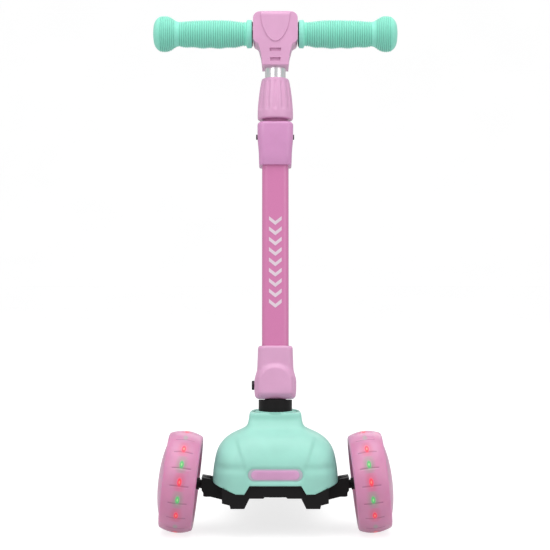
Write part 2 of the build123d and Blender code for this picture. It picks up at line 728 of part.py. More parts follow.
def brake_pad():
    inner = rear_radius + fender_gap
    return fender_arc(inner, inner + 2, 62, 104, fender_half_width - 5)


def brake_pin():
    reach = rear_fork_gap + rear_leg
    return rod(brake_pin_radius, (-reach, brake_pin_y, brake_pin_z), (reach, brake_pin_y, brake_pin_z))


def brake_spring():
    """A torsion spring's coils, as a sleeve around the brake pin."""
    return pipe(4.2, brake_pin_radius + 0.4, (-3.6, brake_pin_y, brake_pin_z),
                (3.6, brake_pin_y, brake_pin_z))


# ---- fold block and latch ----
def fold_block():
    """Fork that straddles the column's tongue and holds the foot of the stem tube."""
    front_view = [(block_half_width - 1, block_top), (block_half_width, block_top - 1),
                  (block_half_width + 0.5, 17),
                  (cheek_half_width, 8), (cheek_half_width, -6), (24, -12), (20, -block_heel)]
    outline = along(front_view + [(-x, z) for x, z in reversed(front_view)], -40, 40)
    side_view = [(-block_front, block_top), (block_back, block_top), (block_back, web_top),
                 (block_heel, web_top - 5), (block_heel, 0)]
    heel = [(block_heel * math.cos(math.radians(a)), block_heel * math.sin(math.radians(a)))
            for a in range(-10, -91, -10)]
    nose = [(-block_front, -block_heel), (-block_front - 3, -4), (-block_front - 3.5, 8),
            (-block_front - 1, 20)]
    side = across(side_view + heel + nose, -40, 40)
    body = outline & side
    slot_side = tongue_half_width + free_gap
    slot_front = tongue_radius + 1.2
    slot = (box(-slot_side, slot_side, -slot_front, 40, -30, web_bottom)
            - box(-slot_side, slot_side, -slot_front, 0, web_bottom - 1, 40))
    socket = square_bar(tube_side, tube_corner, tube_start, 60)
    hole = rod(latch_radius + running_gap, (0, 0, 0), (0, 0, 60))
    arm_slot = box(-latch_arm - free_gap, latch_arm + free_gap, 0, 40, web_top + 0.2, 40)
    bolt = rod(pivot_radius, (-60, 0, 0), (60, 0, 0))
    nut_floor = cheek_half_width - pivot_nut_height - 0.5
    nut_seat = rod(pivot_nut_corner + free_gap, (nut_floor, 0, 0), (60, 0, 0))
    return stem_place * (body - slot - socket - hole - arm_slot - bolt - nut_seat)


def fold_pivot_bolt():
    shank = rod(pivot_radius, (-cheek_half_width, 0, 0), (cheek_half_width - 0.5, 0, 0))
    head = fillet(rod(5.6, (-cheek_half_width - 3, 0, 0), (-cheek_half_width, 0, 0)).edges(), 0.8)
    return stem_place * (shank + head)


def fold_pivot_nut():
    plane = Plane((cheek_half_width - pivot_nut_height - 0.5, 0, 0), z_dir=(1, 0, 0))
    outline = RegularPolygon(pivot_nut_corner, 6) - Circle(pivot_radius)
    return stem_place * extrude(plane * outline, pivot_nut_height)


arm_low = 33.0
arm_high = 39.0
button_gap = 0.6


def fold_lock_pin():
    pin = rod(latch_radius, (0, 0, latch_rest), (0, 0, arm_high))
    pin = fillet(pin.edges().group_by(Axis.Z)[0], 0.8)
    arm = box(-latch_arm, latch_arm, 0, block_back + button_gap, arm_low, arm_high)
    return stem_place * (pin + arm)


def fold_release_button():
    y0 = block_back + button_gap
    pad = box(-9, 9, y0, y0 + 5, 26, 44)
    pad = fillet(pad.edges(), 1.5)
    grooves = [box(-7, 7, y0 + 4.2, y0 + 6, z, z + 1.5) for z in (30, 34, 38)]
    return stem_place * (pad - grooves)


def fold_lock_spring():
    return stem_place * pipe(4.5, 3.2, (0, 0, arm_high), (0, 0, arm_high + 14))


def spring_plug():
    inner_side = tube_side - 2 * tube_wall
    body = square_bar(inner_side, tube_corner - tube_wall, arm_high + 14, arm_high + 20)
    return stem_place * body


# ---- stem ----
def stem_tube():
    body = square_bar(tube_side, tube_corner, tube_start, sleeve_bottom + sleeve_socket)
    bore = square_bar(tube_side - 2 * tube_wall, tube_corner - tube_wall, 0, 400)
    slot = box(-latch_arm - free_gap, latch_arm + free_gap, 5, 40, 0, 40)
    return stem_place * (body - bore - slot)


def upper_collar():
    lower = loft([Pos(0, 0, sleeve_bottom) * RectangleRounded(*[2 * sleeve_foot_half_width] * 2, 8),
                  Pos(0, 0, bolt_level) * RectangleRounded(*[2 * sleeve_half_width] * 2, 9)])
    upper = square_bar(2 * sleeve_half_width, 9, bolt_level, sleeve_top)
    upper = fillet(upper.edges().group_by(Axis.Z)[-1], 2.5)
    socket = square_bar(tube_side, tube_corner, 200, sleeve_bottom + sleeve_socket)
    throat = rod(collet_radius, (0, 0, 200), (0, 0, 400))
    split = box(-1, 1, collet_radius - 3, 40, sleeve_bottom - 1, sleeve_top + 1)
    y = sleeve_half_width - 4
    screw = rod(2.2, (-60, y, bolt_level), (60, y, bolt_level))
    return stem_place * (lower + upper - socket - throat - split - screw)


def collar_bolt():
    """Cross bolt and barrel nut that clamp the split collar."""
    y = sleeve_half_width - 4
    a, b = -sleeve_half_width, sleeve_half_width
    shank = rod(2.2, (a, y, bolt_level), (b, y, bolt_level))
    bolt = shank + rod(3.2, (a - 2, y, bolt_level), (a, y, bolt_level))
    nut = rod(3.2, (b, y, bolt_level), (b + 1.5, y, bolt_level))
    return stem_place * (bolt + nut)


def collet():
    """Split sleeve that grips the inner tube when the wedge ring is pressed down."""
    body = pipe(collet_radius, inner_radius + running_gap * 2,
                (0, 0, sleeve_bottom + sleeve_socket), (0, 0, collet_top))
    slots = [Rot(0, 0, 90 * n) * box(0, 20, -0.8, 0.8, collet_top - 20, 400) for n in range(4)]
    return stem_place * (body - slots)


wedge_level = 348.0
wedge_height = 8.0
wedge_room = 4.0            # above the wedge ring, inside the knob


def wedge_ring():
    body = pipe(collet_radius, inner_radius + free_gap,
                (0, 0, wedge_level), (0, 0, wedge_level + wedge_height))
    return stem_place * body


def lock_knob():
    """Twist knob: convex side with shallow flutes above a plain rim."""
    bore_low = collet_radius + running_gap * 2
    ceiling = wedge_level + wedge_height + wedge_room
    side = Spline((knob_bottom_radius, knob_bottom + 8), (knob_bottom_radius - 1.2, knob_bottom + 26),
                  (knob_top_radius, knob_top - 2))
    shape = side + Polyline((knob_top_radius, knob_top - 2), (knob_top_radius - 2, knob_top),
                            (inner_radius + free_gap, knob_top), (inner_radius + free_gap, ceiling),
                            (bore_low, ceiling), (bore_low, knob_bottom),
                            (knob_bottom_radius - 1, knob_bottom),
                            (knob_bottom_radius, knob_bottom + 1), (knob_bottom_radius, knob_bottom + 8))
    body = revolve(make_face(Plane.XZ * shape), Axis.Z)
    flute = rod(knob_flute, (knob_bottom_radius + knob_flute - 0.4, 0, knob_bottom + 10),
                (knob_top_radius + knob_flute - 1.4, 0, knob_top + 4))
    return stem_place * (body - ring_of(knob_flutes, flute))


def inner_tube():
    body = pipe(inner_radius, inner_radius - inner_wall,
                (0, 0, inner_start), (0, 0, grip_height - crossbar_radius))
    groove = box(-1, 1, -inner_radius - 1, -inner_radius + 0.7, inner_start + 30, grip_height)
    return stem_place * (body - groove)


def inner_tube_guide():
    side = tube_side - 2 * tube_wall - 2 * free_gap
    foot = square_bar(side, tube_corner - tube_wall, inner_start - 10, inner_start)
    plug = rod(inner_radius - inner_wall, (0, 0, inner_start), (0, 0, inner_start + 15))
    hole = rod(5, (0, 0, 0), (0, 0, 400))
    return stem_place * (foot + plug - hole)


# ---- head, crossbar and grips ----
def head_form():
    """The T-shaped head: wide over the crossbar, drawn in to the stem, with a raised centre band."""
    shoulder = grip_height - crossbar_radius + 1.5
    corner = 5.0
    half = Polyline((0, head_top), (head_half_width - 7, head_top)) + \
        RadiusArc((head_half_width - 7, head_top), (head_half_width, head_top - 7), 7) + \
        Polyline((head_half_width, head_top - 7), (head_half_width, shoulder)) + \
        RadiusArc((head_half_width, shoulder), (head_half_width - corner, shoulder - corner), corner) + \
        Spline((head_half_width - corner, shoulder - corner),
               (head_foot_half_width + 2.8, shoulder - 12.5),
               (head_foot_half_width, head_bottom + 6), tangents=[(-1, -0.35), (-0.1, -1)]) + \
        Polyline((head_foot_half_width, head_bottom + 6), (head_foot_half_width, head_bottom),
                 (0, head_bottom),
                 (0, head_top))
    face = make_face(Plane.XZ * half)
    right = extrude(face, head_half_depth, both=True)
    return right + mirror(right, Plane.YZ)


screw_high = (head_half_width - 7, head_top - 4.5)
screw_low = (inner_radius + 3.2, grip_height - crossbar_radius - 4.6)
head_screw_places = [(s * x, z) for x, z in (screw_high, screw_low) for s in (1, -1)]
vent_slots = [(head_bottom + 18.5, 13.2), (head_bottom + 6.9, 12.0)]     # level, lower width
band_half_width = 17.5
band_foot = grip_height - 13    # lower tip of the band, an oval tongue
band_rise = 1.2


def head_body():
    body = fillet(head_form().edges().filter_by(Axis.Y, reverse=True).group_by(Axis.Y)[0], 3)
    body = fillet(body.edges().group_by(Axis.Y)[-1], 3)
    bar = rod(crossbar_radius, (-60, 0, grip_height), (60, 0, grip_height))
    tube = rod(inner_radius, (0, 0, 300), (0, 0, grip_height))
    slots = [along([(-w / 2, s - 2.1), (w / 2, s - 2.1), (w / 2 + 0.8, s + 2.1), (-w / 2 - 0.8, s + 2.1)],
                   -40, -head_half_depth + 2.5) for s, w in vent_slots]
    screws = [rod(1.6, (x, -10, z), (x, 40, z)) for x, z in head_screw_places]
    heads = [rod(3.4, (x, head_half_depth - 3, z), (x, 40, z)) for x, z in head_screw_places]
    return body - bar - tube - slots - screws - heads


def head_shell(front):
    face = -head_half_depth - band_rise
    tongue = Plane.XZ * (Pos(0, head_top) * Ellipse(band_half_width, head_top - band_foot))
    band = extrude(tongue, -face) & box(-40, 40, -60, 60, 0, head_top)
    band = band + box(-band_half_width, band_half_width, face, 0, head_top - 0.5, head_top + band_rise)
    body = head_body()
    if front:
        slice_box = box(-60, 60, -60, -0.05, 300, 500)
        cut = rod(crossbar_radius, (-60, 0, grip_height), (60, 0, grip_height))
        hollow = box(-40, 40, -head_half_depth + 3, 0, head_bottom + 3, head_top - 3)
        band = band - cut - (hollow & band)
        return stem_place * ((body + band) & slice_box)
    return stem_place * (body & box(-60, 60, 0.05, 60, 300, 500))


def head_screws():
    screws = []
    for x, z in head_screw_places:
        shank = rod(1.6, (x, -10, z), (x, head_half_depth - 3, z))
        head = rod(3.2, (x, head_half_depth - 3, z), (x, head_half_depth - 0.6, z))
        socket = extrude(Plane((x, head_half_depth - 1.8, z), z_dir=(0, 1, 0)) * RegularPolygon(1.5, 6), 3)
        screws.append(stem_place * (shank + head - socket))
    return screws


def crossbar_tube():
    reach = bar_width / 2 - 4
    return stem_place * pipe(crossbar_radius, crossbar_radius - crossbar_wall,
                             (-reach, 0, grip_height), (reach, 0, grip_height))


def grip(side):
    """Rubber sleeve: end bulb, neck, swelling body and an inner flange, closed at the tip."""
    tip = bar_width / 2
    a = grip_start
    flange = grip_body_radius + 1
    outline = Polyline((crossbar_radius, a), (flange, a), (flange, a + 5),
                       (grip_body_radius - 1.4, a + 7)) + \
        Spline((grip_body_radius - 1.4, a + 7), (grip_body_radius + 0.6, a + 45),
               (grip_body_radius + 0.2, a + 75),
               (grip_body_radius - 1, tip - 30)) + \
        Spline((grip_body_radius - 1, tip - 30), (grip_bulb_radius - 0.7, tip - 19),
               (grip_bulb_radius, tip - 13),
               (grip_bulb_radius - 3, tip - 4), (grip_bulb_radius - 8, tip)) + \
        Polyline((grip_bulb_radius - 8, tip), (0, tip), (0, tip - 4), (crossbar_radius, tip - 4),
                 (crossbar_radius, a))
    body = revolve(make_face(Plane.XZ * outline), Axis.Z)
    place = Plane((0, 0, grip_height), x_dir=(0, 1, 0), z_dir=(side, 0, 0)).location
    return stem_place * (place * body)


def grip_rings():
    return stem_place * both(lambda s: rod(crossbar_radius + 4, (s * head_half_width, 0, grip_height),
                                           (s * (grip_start), 0, grip_height))
                             - rod(crossbar_radius, (-60, 0, grip_height), (60, 0, grip_height)))


# ---- writing the pieces ----
def pieces():
    named = {
        "front_chassis": front_chassis, "chassis_screws": chassis_screws, "bonnet": bonnet,
        "badge": badge, "lean_shaft": lean_shaft, "lean_nut": lean_nut,
        "lean_bushes": lean_bushes, "centring_rubbers": centring_rubbers, "column_post": column_post,
        "tie_rod": tie_rod, "deck": deck, "deck_mat": deck_mat, "rear_tyre": rear_tyre,
        "rear_core": rear_core, "rear_spacers": rear_spacers, "brake_fender": brake_fender,
        "brake_pad": brake_pad,
        "brake_pin": brake_pin, "brake_spring": brake_spring, "fold_block": fold_block,
        "fold_lock_pin": fold_lock_pin, "fold_release_button": fold_release_button,
        "fold_lock_spring": fold_lock_spring, "spring_plug": spring_plug, "stem_tube": stem_tube,
        "upper_collar": upper_collar, "collar_bolt": collar_bolt, "collet": collet,
        "wedge_ring": wedge_ring, "lock_knob": lock_knob, "inner_tube": inner_tube,
        "inner_tube_guide": inner_tube_guide, "head_screws": head_screws,
        "crossbar_tube": crossbar_tube, "grip_rings": grip_rings,
    }
    made = {name: make() for name, make in named.items()}
    made["kingpins"] = [make(side) for side in (-1, 1) for make in (kingpin, kingpin_nut)]
    made["rear_axle"] = [rear_axle_bolt(), rear_axle_nut()]
    made["fold_pivot"] = [fold_pivot_bolt(), fold_pivot_nut()]
    made["rear_bearings"] = bearing_pair(bearing_face, rear_place())
    made["head_front_shell"] = head_shell(True)
    made["head_rear_shell"] = head_shell(False)
    for side, word in ((-1, "left"), (1, "right")):
        made[f"tyre_{word}"] = front_tyre(side)
        made[f"light_ring_{word}"] = light_ring(side)
        made[f"core_{word}"] = front_core(side)
        made[f"bearings_{word}"] = bearing_pair(bearing_face, wheel_place(side))
        made[f"hub_cap_{word}"] = hub_cap(side)
        made[f"axle_bolt_{word}"] = axle_bolt(side)
        made[f"magnet_sleeve_{word}"] = magnet_sleeve(side)
        made[f"knuckle_{word}"] = knuckle(side)
        made[f"grip_{word}"] = grip(side)
    return made


def write():
    os.makedirs("parts", exist_ok=True)
    for name, shape in pieces().items():
        solids = shape if isinstance(shape, list) else [shape]
        solids = [solid for piece in solids for solid in piece.solids()]
        export_step(Compound(solids) if len(solids) > 1 else solids[0], f"parts/{name}.step")
        print(name, len(solids))


write()
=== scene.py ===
import json
import math
import bpy
import bmesh
from mathutils import Matrix, Vector


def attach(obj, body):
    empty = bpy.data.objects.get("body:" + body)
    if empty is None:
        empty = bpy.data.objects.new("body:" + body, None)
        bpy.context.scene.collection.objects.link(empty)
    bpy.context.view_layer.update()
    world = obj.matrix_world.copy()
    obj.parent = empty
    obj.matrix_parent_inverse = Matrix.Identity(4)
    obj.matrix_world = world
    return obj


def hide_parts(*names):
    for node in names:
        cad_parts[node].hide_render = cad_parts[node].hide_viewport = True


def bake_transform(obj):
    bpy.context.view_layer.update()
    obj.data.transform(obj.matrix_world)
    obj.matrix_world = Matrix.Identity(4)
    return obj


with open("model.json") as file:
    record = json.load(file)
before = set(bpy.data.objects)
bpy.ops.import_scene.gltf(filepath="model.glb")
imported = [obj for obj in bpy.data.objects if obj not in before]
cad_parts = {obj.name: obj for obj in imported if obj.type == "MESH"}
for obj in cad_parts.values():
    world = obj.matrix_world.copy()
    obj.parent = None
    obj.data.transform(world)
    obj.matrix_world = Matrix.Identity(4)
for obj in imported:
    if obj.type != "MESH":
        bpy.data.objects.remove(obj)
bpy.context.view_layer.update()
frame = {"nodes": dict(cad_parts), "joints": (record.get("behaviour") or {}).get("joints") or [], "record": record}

# Folding kick scooter: pink and mint mouldings, milky urethane wheels with lights.
# Pieces are made in millimetres in their own local frame, then laid into the shared one in metres.

mm = 0.001
joints = {j["name"]: j for j in frame["joints"]}
nodes = frame["nodes"]


def frameAt(place, zDir, xDir):
    z = Vector(zDir).normalized()
    x = Vector(xDir)
    x = (x - z * x.dot(z)).normalized()
    turn = Matrix((x, z.cross(x), z)).transposed().to_4x4()
    return Matrix.Translation(Vector(place)) @ turn @ Matrix.Scale(mm, 4)


stemFrame = frameAt(joints["fold_turn"]["pos_m"], joints["height_slide"]["axis"], (1, 0, 0))
frontAxle = joints["left_spin"]["pos_m"][1] / mm
rearAxle = joints["rear_spin"]["pos_m"][1] / mm
worldFrame = Matrix.Scale(mm, 4)
axleFrame = Matrix.Translation((0, frontAxle * mm, 0)) @ worldFrame


def wheelFrame(word):
    spin = joints[word + "_spin"]
    return frameAt(spin["pos_m"], spin["axis"], (0, -1, 0))   # local X points forward


# points on a smooth line through the given ones
def smoothLine(points, steps):
    out = []
    last = len(points) - 1
    for i in range(last):
        a, b = points[max(i - 1, 0)], points[i]
        c, d = points[i + 1], points[min(i + 2, last)]
        for k in range(steps):
            t = k / steps
            out.append(tuple(0.5 * (2 * q + (r - p) * t + (2 * p - 5 * q + 4 * r - s) * t * t
                                    + (3 * q - p - 3 * r + s) * t ** 3)
                             for p, q, r, s in zip(a, b, c, d)))
    out.append(tuple(points[-1]))
    return out


def arcLine(centre, radius, start, end, steps):
    return [(centre[0] + radius * math.cos(math.radians(start + (end - start) * k / steps)),
             centre[1] + radius * math.sin(math.radians(start + (end - start) * k / steps)))
            for k in range(steps + 1)]


def ease(low, high, x):
    t = min(max((x - low) / (high - low), 0), 1)
    return t * t * (3 - 2 * t)


def spinProfile(points, steps, closed=False):
    bm = bmesh.new()
    verts = [bm.verts.new((r, 0, h)) for r, h in points]
    edges = [bm.edges.new(pair) for pair in zip(verts, verts[1:])]
    if closed:
        edges.append(bm.edges.new((verts[-1], verts[0])))
    bmesh.ops.spin(bm, geom=verts + edges, axis=(0, 0, 1), cent=(0, 0, 0), dvec=(0, 0, 0),
                   angle=2 * math.pi, steps=steps, use_merge=True)
    bmesh.ops.remove_doubles(bm, verts=bm.verts, dist=0.001)
    return bm


def vertsOf(geom):
    return [g for g in geom if isinstance(g, bmesh.types.BMVert)]


# rings of equal count joined one after another, with the two ends closed if it is capped
def skinRings(rings, capped=False):
    bm = bmesh.new()
    ring = bmesh.ops.create_circle(bm, cap_ends=False, segments=len(rings[0]), radius=1)["verts"]
    for v, p in zip(ring, rings[0]):
        v.co = p
    first = list(ring)
    for points in rings[1:]:
        newVerts = set(vertsOf(bmesh.ops.extrude_edge_only(bm, edges=ringEdges(ring))["geom"]))
        order = [next(e.other_vert(v) for e in v.link_edges if e.other_vert(v) in newVerts)
                 for v in ring]
        for v, p in zip(order, points):
            v.co = p
        ring = order
    if capped:
        bm.faces.new(first)
        bm.faces.new(ring)
    return bm


def ringEdges(ring):
    return [next(e for e in v.link_edges if e.other_vert(v) is w)
            for v, w in zip(ring, ring[1:] + ring[:1])]


# corner points of a rounded rectangle with a few points along each side
def roundedLoop(halfX, halfY, corner, perCorner=8, perSide=6):
    points = []
    spots = [(halfX - corner, halfY - corner, 0), (-halfX + corner, halfY - corner, 90),
             (-halfX + corner, -halfY + corner, 180), (halfX - corner, -halfY + corner, 270)]
    for i, (x, y, start) in enumerate(spots):
        arc = arcLine((x, y), corner, start, start + 90, perCorner)
        nextSpot = spots[(i + 1) % 4]
        target = arcLine((nextSpot[0], nextSpot[1]), corner, nextSpot[2], nextSpot[2], 1)[0]
        points += arc
        points += [(arc[-1][0] + (target[0] - arc[-1][0]) * k / perSide,
                    arc[-1][1] + (target[1] - arc[-1][1]) * k / perSide) for k in range(1, perSide)]
    return points


# an (x, z) outline given a depth along Y, with its front and back edges rounded
def outlineSlab(points, low, high, bevel=0.0, segments=4):
    bm = bmesh.new()
    verts = [bm.verts.new((x, low, z)) for x, z in points]
    face = bm.faces.new(verts)
    moved = bmesh.ops.extrude_face_region(bm, geom=[face])["geom"]
    bmesh.ops.translate(bm, vec=(0, high - low, 0), verts=vertsOf(moved))
    bmesh.ops.recalc_face_normals(bm, faces=bm.faces)
    if bevel:
        rims = [e for e in bm.edges if abs(e.verts[0].co.y - e.verts[1].co.y) < 0.001]
        bmesh.ops.bevel(bm, geom=rims, offset=bevel, offset_type="OFFSET", segments=segments,
                        profile=0.5, affect="EDGES", material=-1, clamp_overlap=True)
    return bm


def addPiece(bm, name, place, body, material, replaced=(), sharp=38, weld=True):
    if weld:
        bmesh.ops.remove_doubles(bm, verts=bm.verts, dist=0.0005)
    bmesh.ops.recalc_face_normals(bm, faces=bm.faces)
    bmesh.ops.transform(bm, matrix=place, verts=bm.verts)
    mesh = bpy.data.meshes.new(name)
    bm.to_mesh(mesh)
    bm.free()
    for face in mesh.polygons:
        face.use_smooth = True
    mesh.set_sharp_from_angle(angle=math.radians(sharp))
    piece = bpy.data.objects.new(name, mesh)
    bpy.context.scene.collection.objects.link(piece)
    mesh.materials.append(material)
    if body:
        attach(piece, body)
    if replaced:
        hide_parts(*replaced)
    return piece


# cuts the piece with closed meshes given in bmesh form, already in metres
def cutWith(piece, cutters):
    for bm in cutters:
        bmesh.ops.recalc_face_normals(bm, faces=bm.faces)
        mesh = bpy.data.meshes.new("cutter")
        bm.to_mesh(mesh)
        bm.free()
        tool = bpy.data.objects.new("cutter", mesh)
        bpy.context.scene.collection.objects.link(tool)
        cut = piece.modifiers.new("cut", "BOOLEAN")
        cut.operation = "DIFFERENCE"
        cut.solver = "EXACT"
        cut.object = tool
        bpy.context.view_layer.update()
        shaped = piece.evaluated_get(bpy.context.evaluated_depsgraph_get())
        piece.data = bpy.data.meshes.new_from_object(shaped)
        piece.modifiers.clear()
        bpy.data.objects.remove(tool)
    for face in piece.data.polygons:
        face.use_smooth = True
    piece.data.set_sharp_from_angle(angle=math.radians(38))


def boxMesh(low, high, place):
    bm = bmesh.new()
    bmesh.ops.create_cube(bm, size=1)
    size = Vector(high) - Vector(low)
    bmesh.ops.scale(bm, vec=size, verts=bm.verts)
    bmesh.ops.translate(bm, vec=(Vector(high) + Vector(low)) / 2, verts=bm.verts)
    bmesh.ops.transform(bm, matrix=place, verts=bm.verts)
    return bm


def rodMesh(radius, start, end, place, segments=48):
    bm = bmesh.new()
    a, b = Vector(start), Vector(end)
    turn = (b - a).to_track_quat("Z", "Y").to_matrix().to_4x4()
    bmesh.ops.create_cone(bm, cap_ends=True, segments=segments, radius1=radius, radius2=radius,
                          depth=(b - a).length)
    bmesh.ops.transform(bm, matrix=place @ Matrix.Translation((a + b) / 2) @ turn, verts=bm.verts)
    return bm


def softenEdges(piece, width, segments, angle):
    edge = piece.modifiers.new("edge", "BEVEL")
    edge.width = width * mm
    edge.segments = segments
    edge.limit_method = "ANGLE"
    edge.angle_limit = math.radians(angle)
    edge.harden_normals = True
    return piece


def startMaterial(name):
    material = bpy.data.materials.new(name)
    material.use_nodes = True
    return material, material.node_tree, material.node_tree.nodes["Principled BSDF"]


def addNode(tree, kind, **settings):
    made = tree.nodes.new("ShaderNode" + kind)
    for key, value in settings.items():
        setattr(made, key, value)
    return made


def calc(tree, operation, *values):
    made = addNode(tree, "Math", operation=operation)
    for socket, value in zip(made.inputs, values):
        if isinstance(value, (int, float)):
            socket.default_value = value
        else:
            tree.links.new(value, socket)
    return made.outputs[0]


def rampBetween(tree, fac, low, high, lowColour, highColour):
    ramp = addNode(tree, "ValToRGB")
    ramp.color_ramp.elements[0].position = low
    ramp.color_ramp.elements[1].position = high
    ramp.color_ramp.elements[0].color = (*lowColour, 1)
    ramp.color_ramp.elements[1].color = (*highColour, 1)
    tree.links.new(fac, ramp.inputs[0])
    return ramp.outputs[0]


def noiseAt(tree, scale, detail=3, roughness=0.5, stretch=None):
    place = addNode(tree, "TexCoord")
    source = place.outputs["Object"]
    if stretch:
        mapping = addNode(tree, "Mapping")
        mapping.inputs["Scale"].default_value = stretch
        tree.links.new(source, mapping.inputs[0])
        source = mapping.outputs[0]
    noise = addNode(tree, "TexNoise")
    noise.inputs["Scale"].default_value = scale
    noise.inputs["Detail"].default_value = detail
    noise.inputs["Roughness"].default_value = roughness
    tree.links.new(source, noise.inputs["Vector"])
    return noise.outputs["Fac"]


def bumpFrom(tree, bsdf, height, distance):
    bump = addNode(tree, "Bump")
    bump.inputs["Distance"].default_value = distance
    bump.inputs["Strength"].default_value = 1.0
    tree.links.new(height, bump.inputs["Height"])
    tree.links.new(bump.outputs[0], bsdf.inputs["Normal"])


def shade(colour, amount):
    return tuple(min(c * amount, 1) for c in colour)


# moulded plastic: cloudy colour, fine spark-eroded grain and uneven gloss
def mouldedPlastic(name, colour, roughness, grain, depth, coat=0.0, glow=0.0, gloss=0.5):
    material, tree, bsdf = startMaterial(name)
    cloud = noiseAt(tree, 38, 2)
    tree.links.new(rampBetween(tree, cloud, 0.3, 0.75, shade(colour, 0.955), shade(colour, 1.03)),
                   bsdf.inputs["Base Color"])
    smear = noiseAt(tree, 95, 4)
    rough = addNode(tree, "MapRange")
    rough.inputs["To Min"].default_value = roughness - 0.05
    rough.inputs["To Max"].default_value = roughness + 0.07
    tree.links.new(smear, rough.inputs["Value"])
    tree.links.new(rough.outputs[0], bsdf.inputs["Roughness"])
    bumpFrom(tree, bsdf, noiseAt(tree, grain, 2, 0.6), depth)
    bsdf.inputs["Coat Weight"].default_value = coat
    bsdf.inputs["Coat Roughness"].default_value = 0.18
    bsdf.inputs["Specular IOR Level"].default_value = gloss
    if glow:
        bsdf.inputs["Subsurface Weight"].default_value = glow
        bsdf.inputs["Subsurface Radius"].default_value = (0.006, 0.004, 0.005)
        bsdf.inputs["Subsurface Scale"].default_value = 0.6
    return material


# soft rubber: dusty where it is raised, with a fine matt skin; grooves are (first, last, pitch) in X, and their
# troughs are darkened as painted shade
def gripRubber(name, colour, roughness, grain, depth, grooves=()):
    material, tree, bsdf = startMaterial(name)
    dust = noiseAt(tree, 260, 5, 0.65)
    skin = rampBetween(tree, dust, 0.35, 0.8, colour, shade(colour, 1.12))
    if grooves:
        parts = addNode(tree, "SeparateXYZ")
        tree.links.new(addNode(tree, "TexCoord").outputs["Object"], parts.inputs[0])
        reach = calc(tree, "DIVIDE", calc(tree, "ABSOLUTE", parts.outputs[0]), mm)
        grooveShade = 0.0
        for first, last, pitch in grooves:
            pitches = calc(tree, "DIVIDE", calc(tree, "SUBTRACT", reach, first), pitch)
            inside = calc(tree, "MULTIPLY", calc(tree, "GREATER_THAN", reach, first),
                          calc(tree, "LESS_THAN", reach, last))
            low = calc(tree, "GREATER_THAN", calc(tree, "FRACT", pitches), 0.64)
            low = calc(tree, "MULTIPLY", low, inside)
            grooveShade = calc(tree, "MAXIMUM", grooveShade, low)
        # painted shade: the troughs between the grip's ribs are darkened
        mixed = addNode(tree, "Mix", data_type="RGBA")
        tree.links.new(grooveShade, mixed.inputs["Factor"])
        tree.links.new(skin, mixed.inputs[6])
        mixed.inputs[7].default_value = (*shade(colour, 0.76), 1)
        skin = mixed.outputs[2]
    tree.links.new(skin, bsdf.inputs["Base Color"])
    rough = addNode(tree, "MapRange")
    rough.inputs["To Min"].default_value = roughness - 0.08
    rough.inputs["To Max"].default_value = roughness + 0.08
    tree.links.new(dust, rough.inputs["Value"])
    tree.links.new(rough.outputs[0], bsdf.inputs["Roughness"])
    bumpFrom(tree, bsdf, noiseAt(tree, grain, 3, 0.6), depth)
    bsdf.inputs["Sheen Weight"].default_value = 0.15
    bsdf.inputs["Sheen Roughness"].default_value = 0.5
    return material


# metal with fine lines along one way and faint smudges
def drawnMetal(name, colour, roughness, stretch, depth):
    material, tree, bsdf = startMaterial(name)
    lines = noiseAt(tree, 60, 4, 0.6, stretch)
    tree.links.new(rampBetween(tree, lines, 0.25, 0.8, shade(colour, 0.86), shade(colour, 1.05)),
                   bsdf.inputs["Base Color"])
    bsdf.inputs["Metallic"].default_value = 1.0
    smudge = addNode(tree, "MapRange")
    smudge.inputs["To Min"].default_value = roughness
    smudge.inputs["To Max"].default_value = roughness + 0.15
    tree.links.new(noiseAt(tree, 70, 3), smudge.inputs["Value"])
    tree.links.new(smudge.outputs[0], bsdf.inputs["Roughness"])
    bumpFrom(tree, bsdf, lines, depth)
    return material


# gloss paint with a faint orange peel and fine metallic specks
def stemPaint():
    material, tree, bsdf = startMaterial("stem paint")
    colour = (0.62, 0.185, 0.40)
    fleck = noiseAt(tree, 2600, 1)
    tree.links.new(rampBetween(tree, fleck, 0.35, 0.8, shade(colour, 0.97), shade(colour, 1.1)),
                   bsdf.inputs["Base Color"])
    rough = addNode(tree, "MapRange")
    rough.inputs["To Min"].default_value = 0.24
    rough.inputs["To Max"].default_value = 0.36
    tree.links.new(noiseAt(tree, 55, 4), rough.inputs["Value"])
    tree.links.new(rough.outputs[0], bsdf.inputs["Roughness"])
    bumpFrom(tree, bsdf, noiseAt(tree, 420, 2), 0.00004)
    bsdf.inputs["Coat Weight"].default_value = 0.5
    bsdf.inputs["Coat Roughness"].default_value = 0.12
    return material


# the pale colour given for each light's centre is a painted highlight
lights = {"count": 18, "turn": 8.0, "long": 5.6, "wide": 2.9, "radius": 60.0, "strength": 0.5,
          "red": (0.80, 0.02, 0.05), "green": (0.03, 0.46, 0.12), "dull": (0.42, 0.50, 0.42),
          "paintedHighlight": (1.0, 0.72, 0.50),
          "groove": 4.6, "grooveHalf": 11.0}
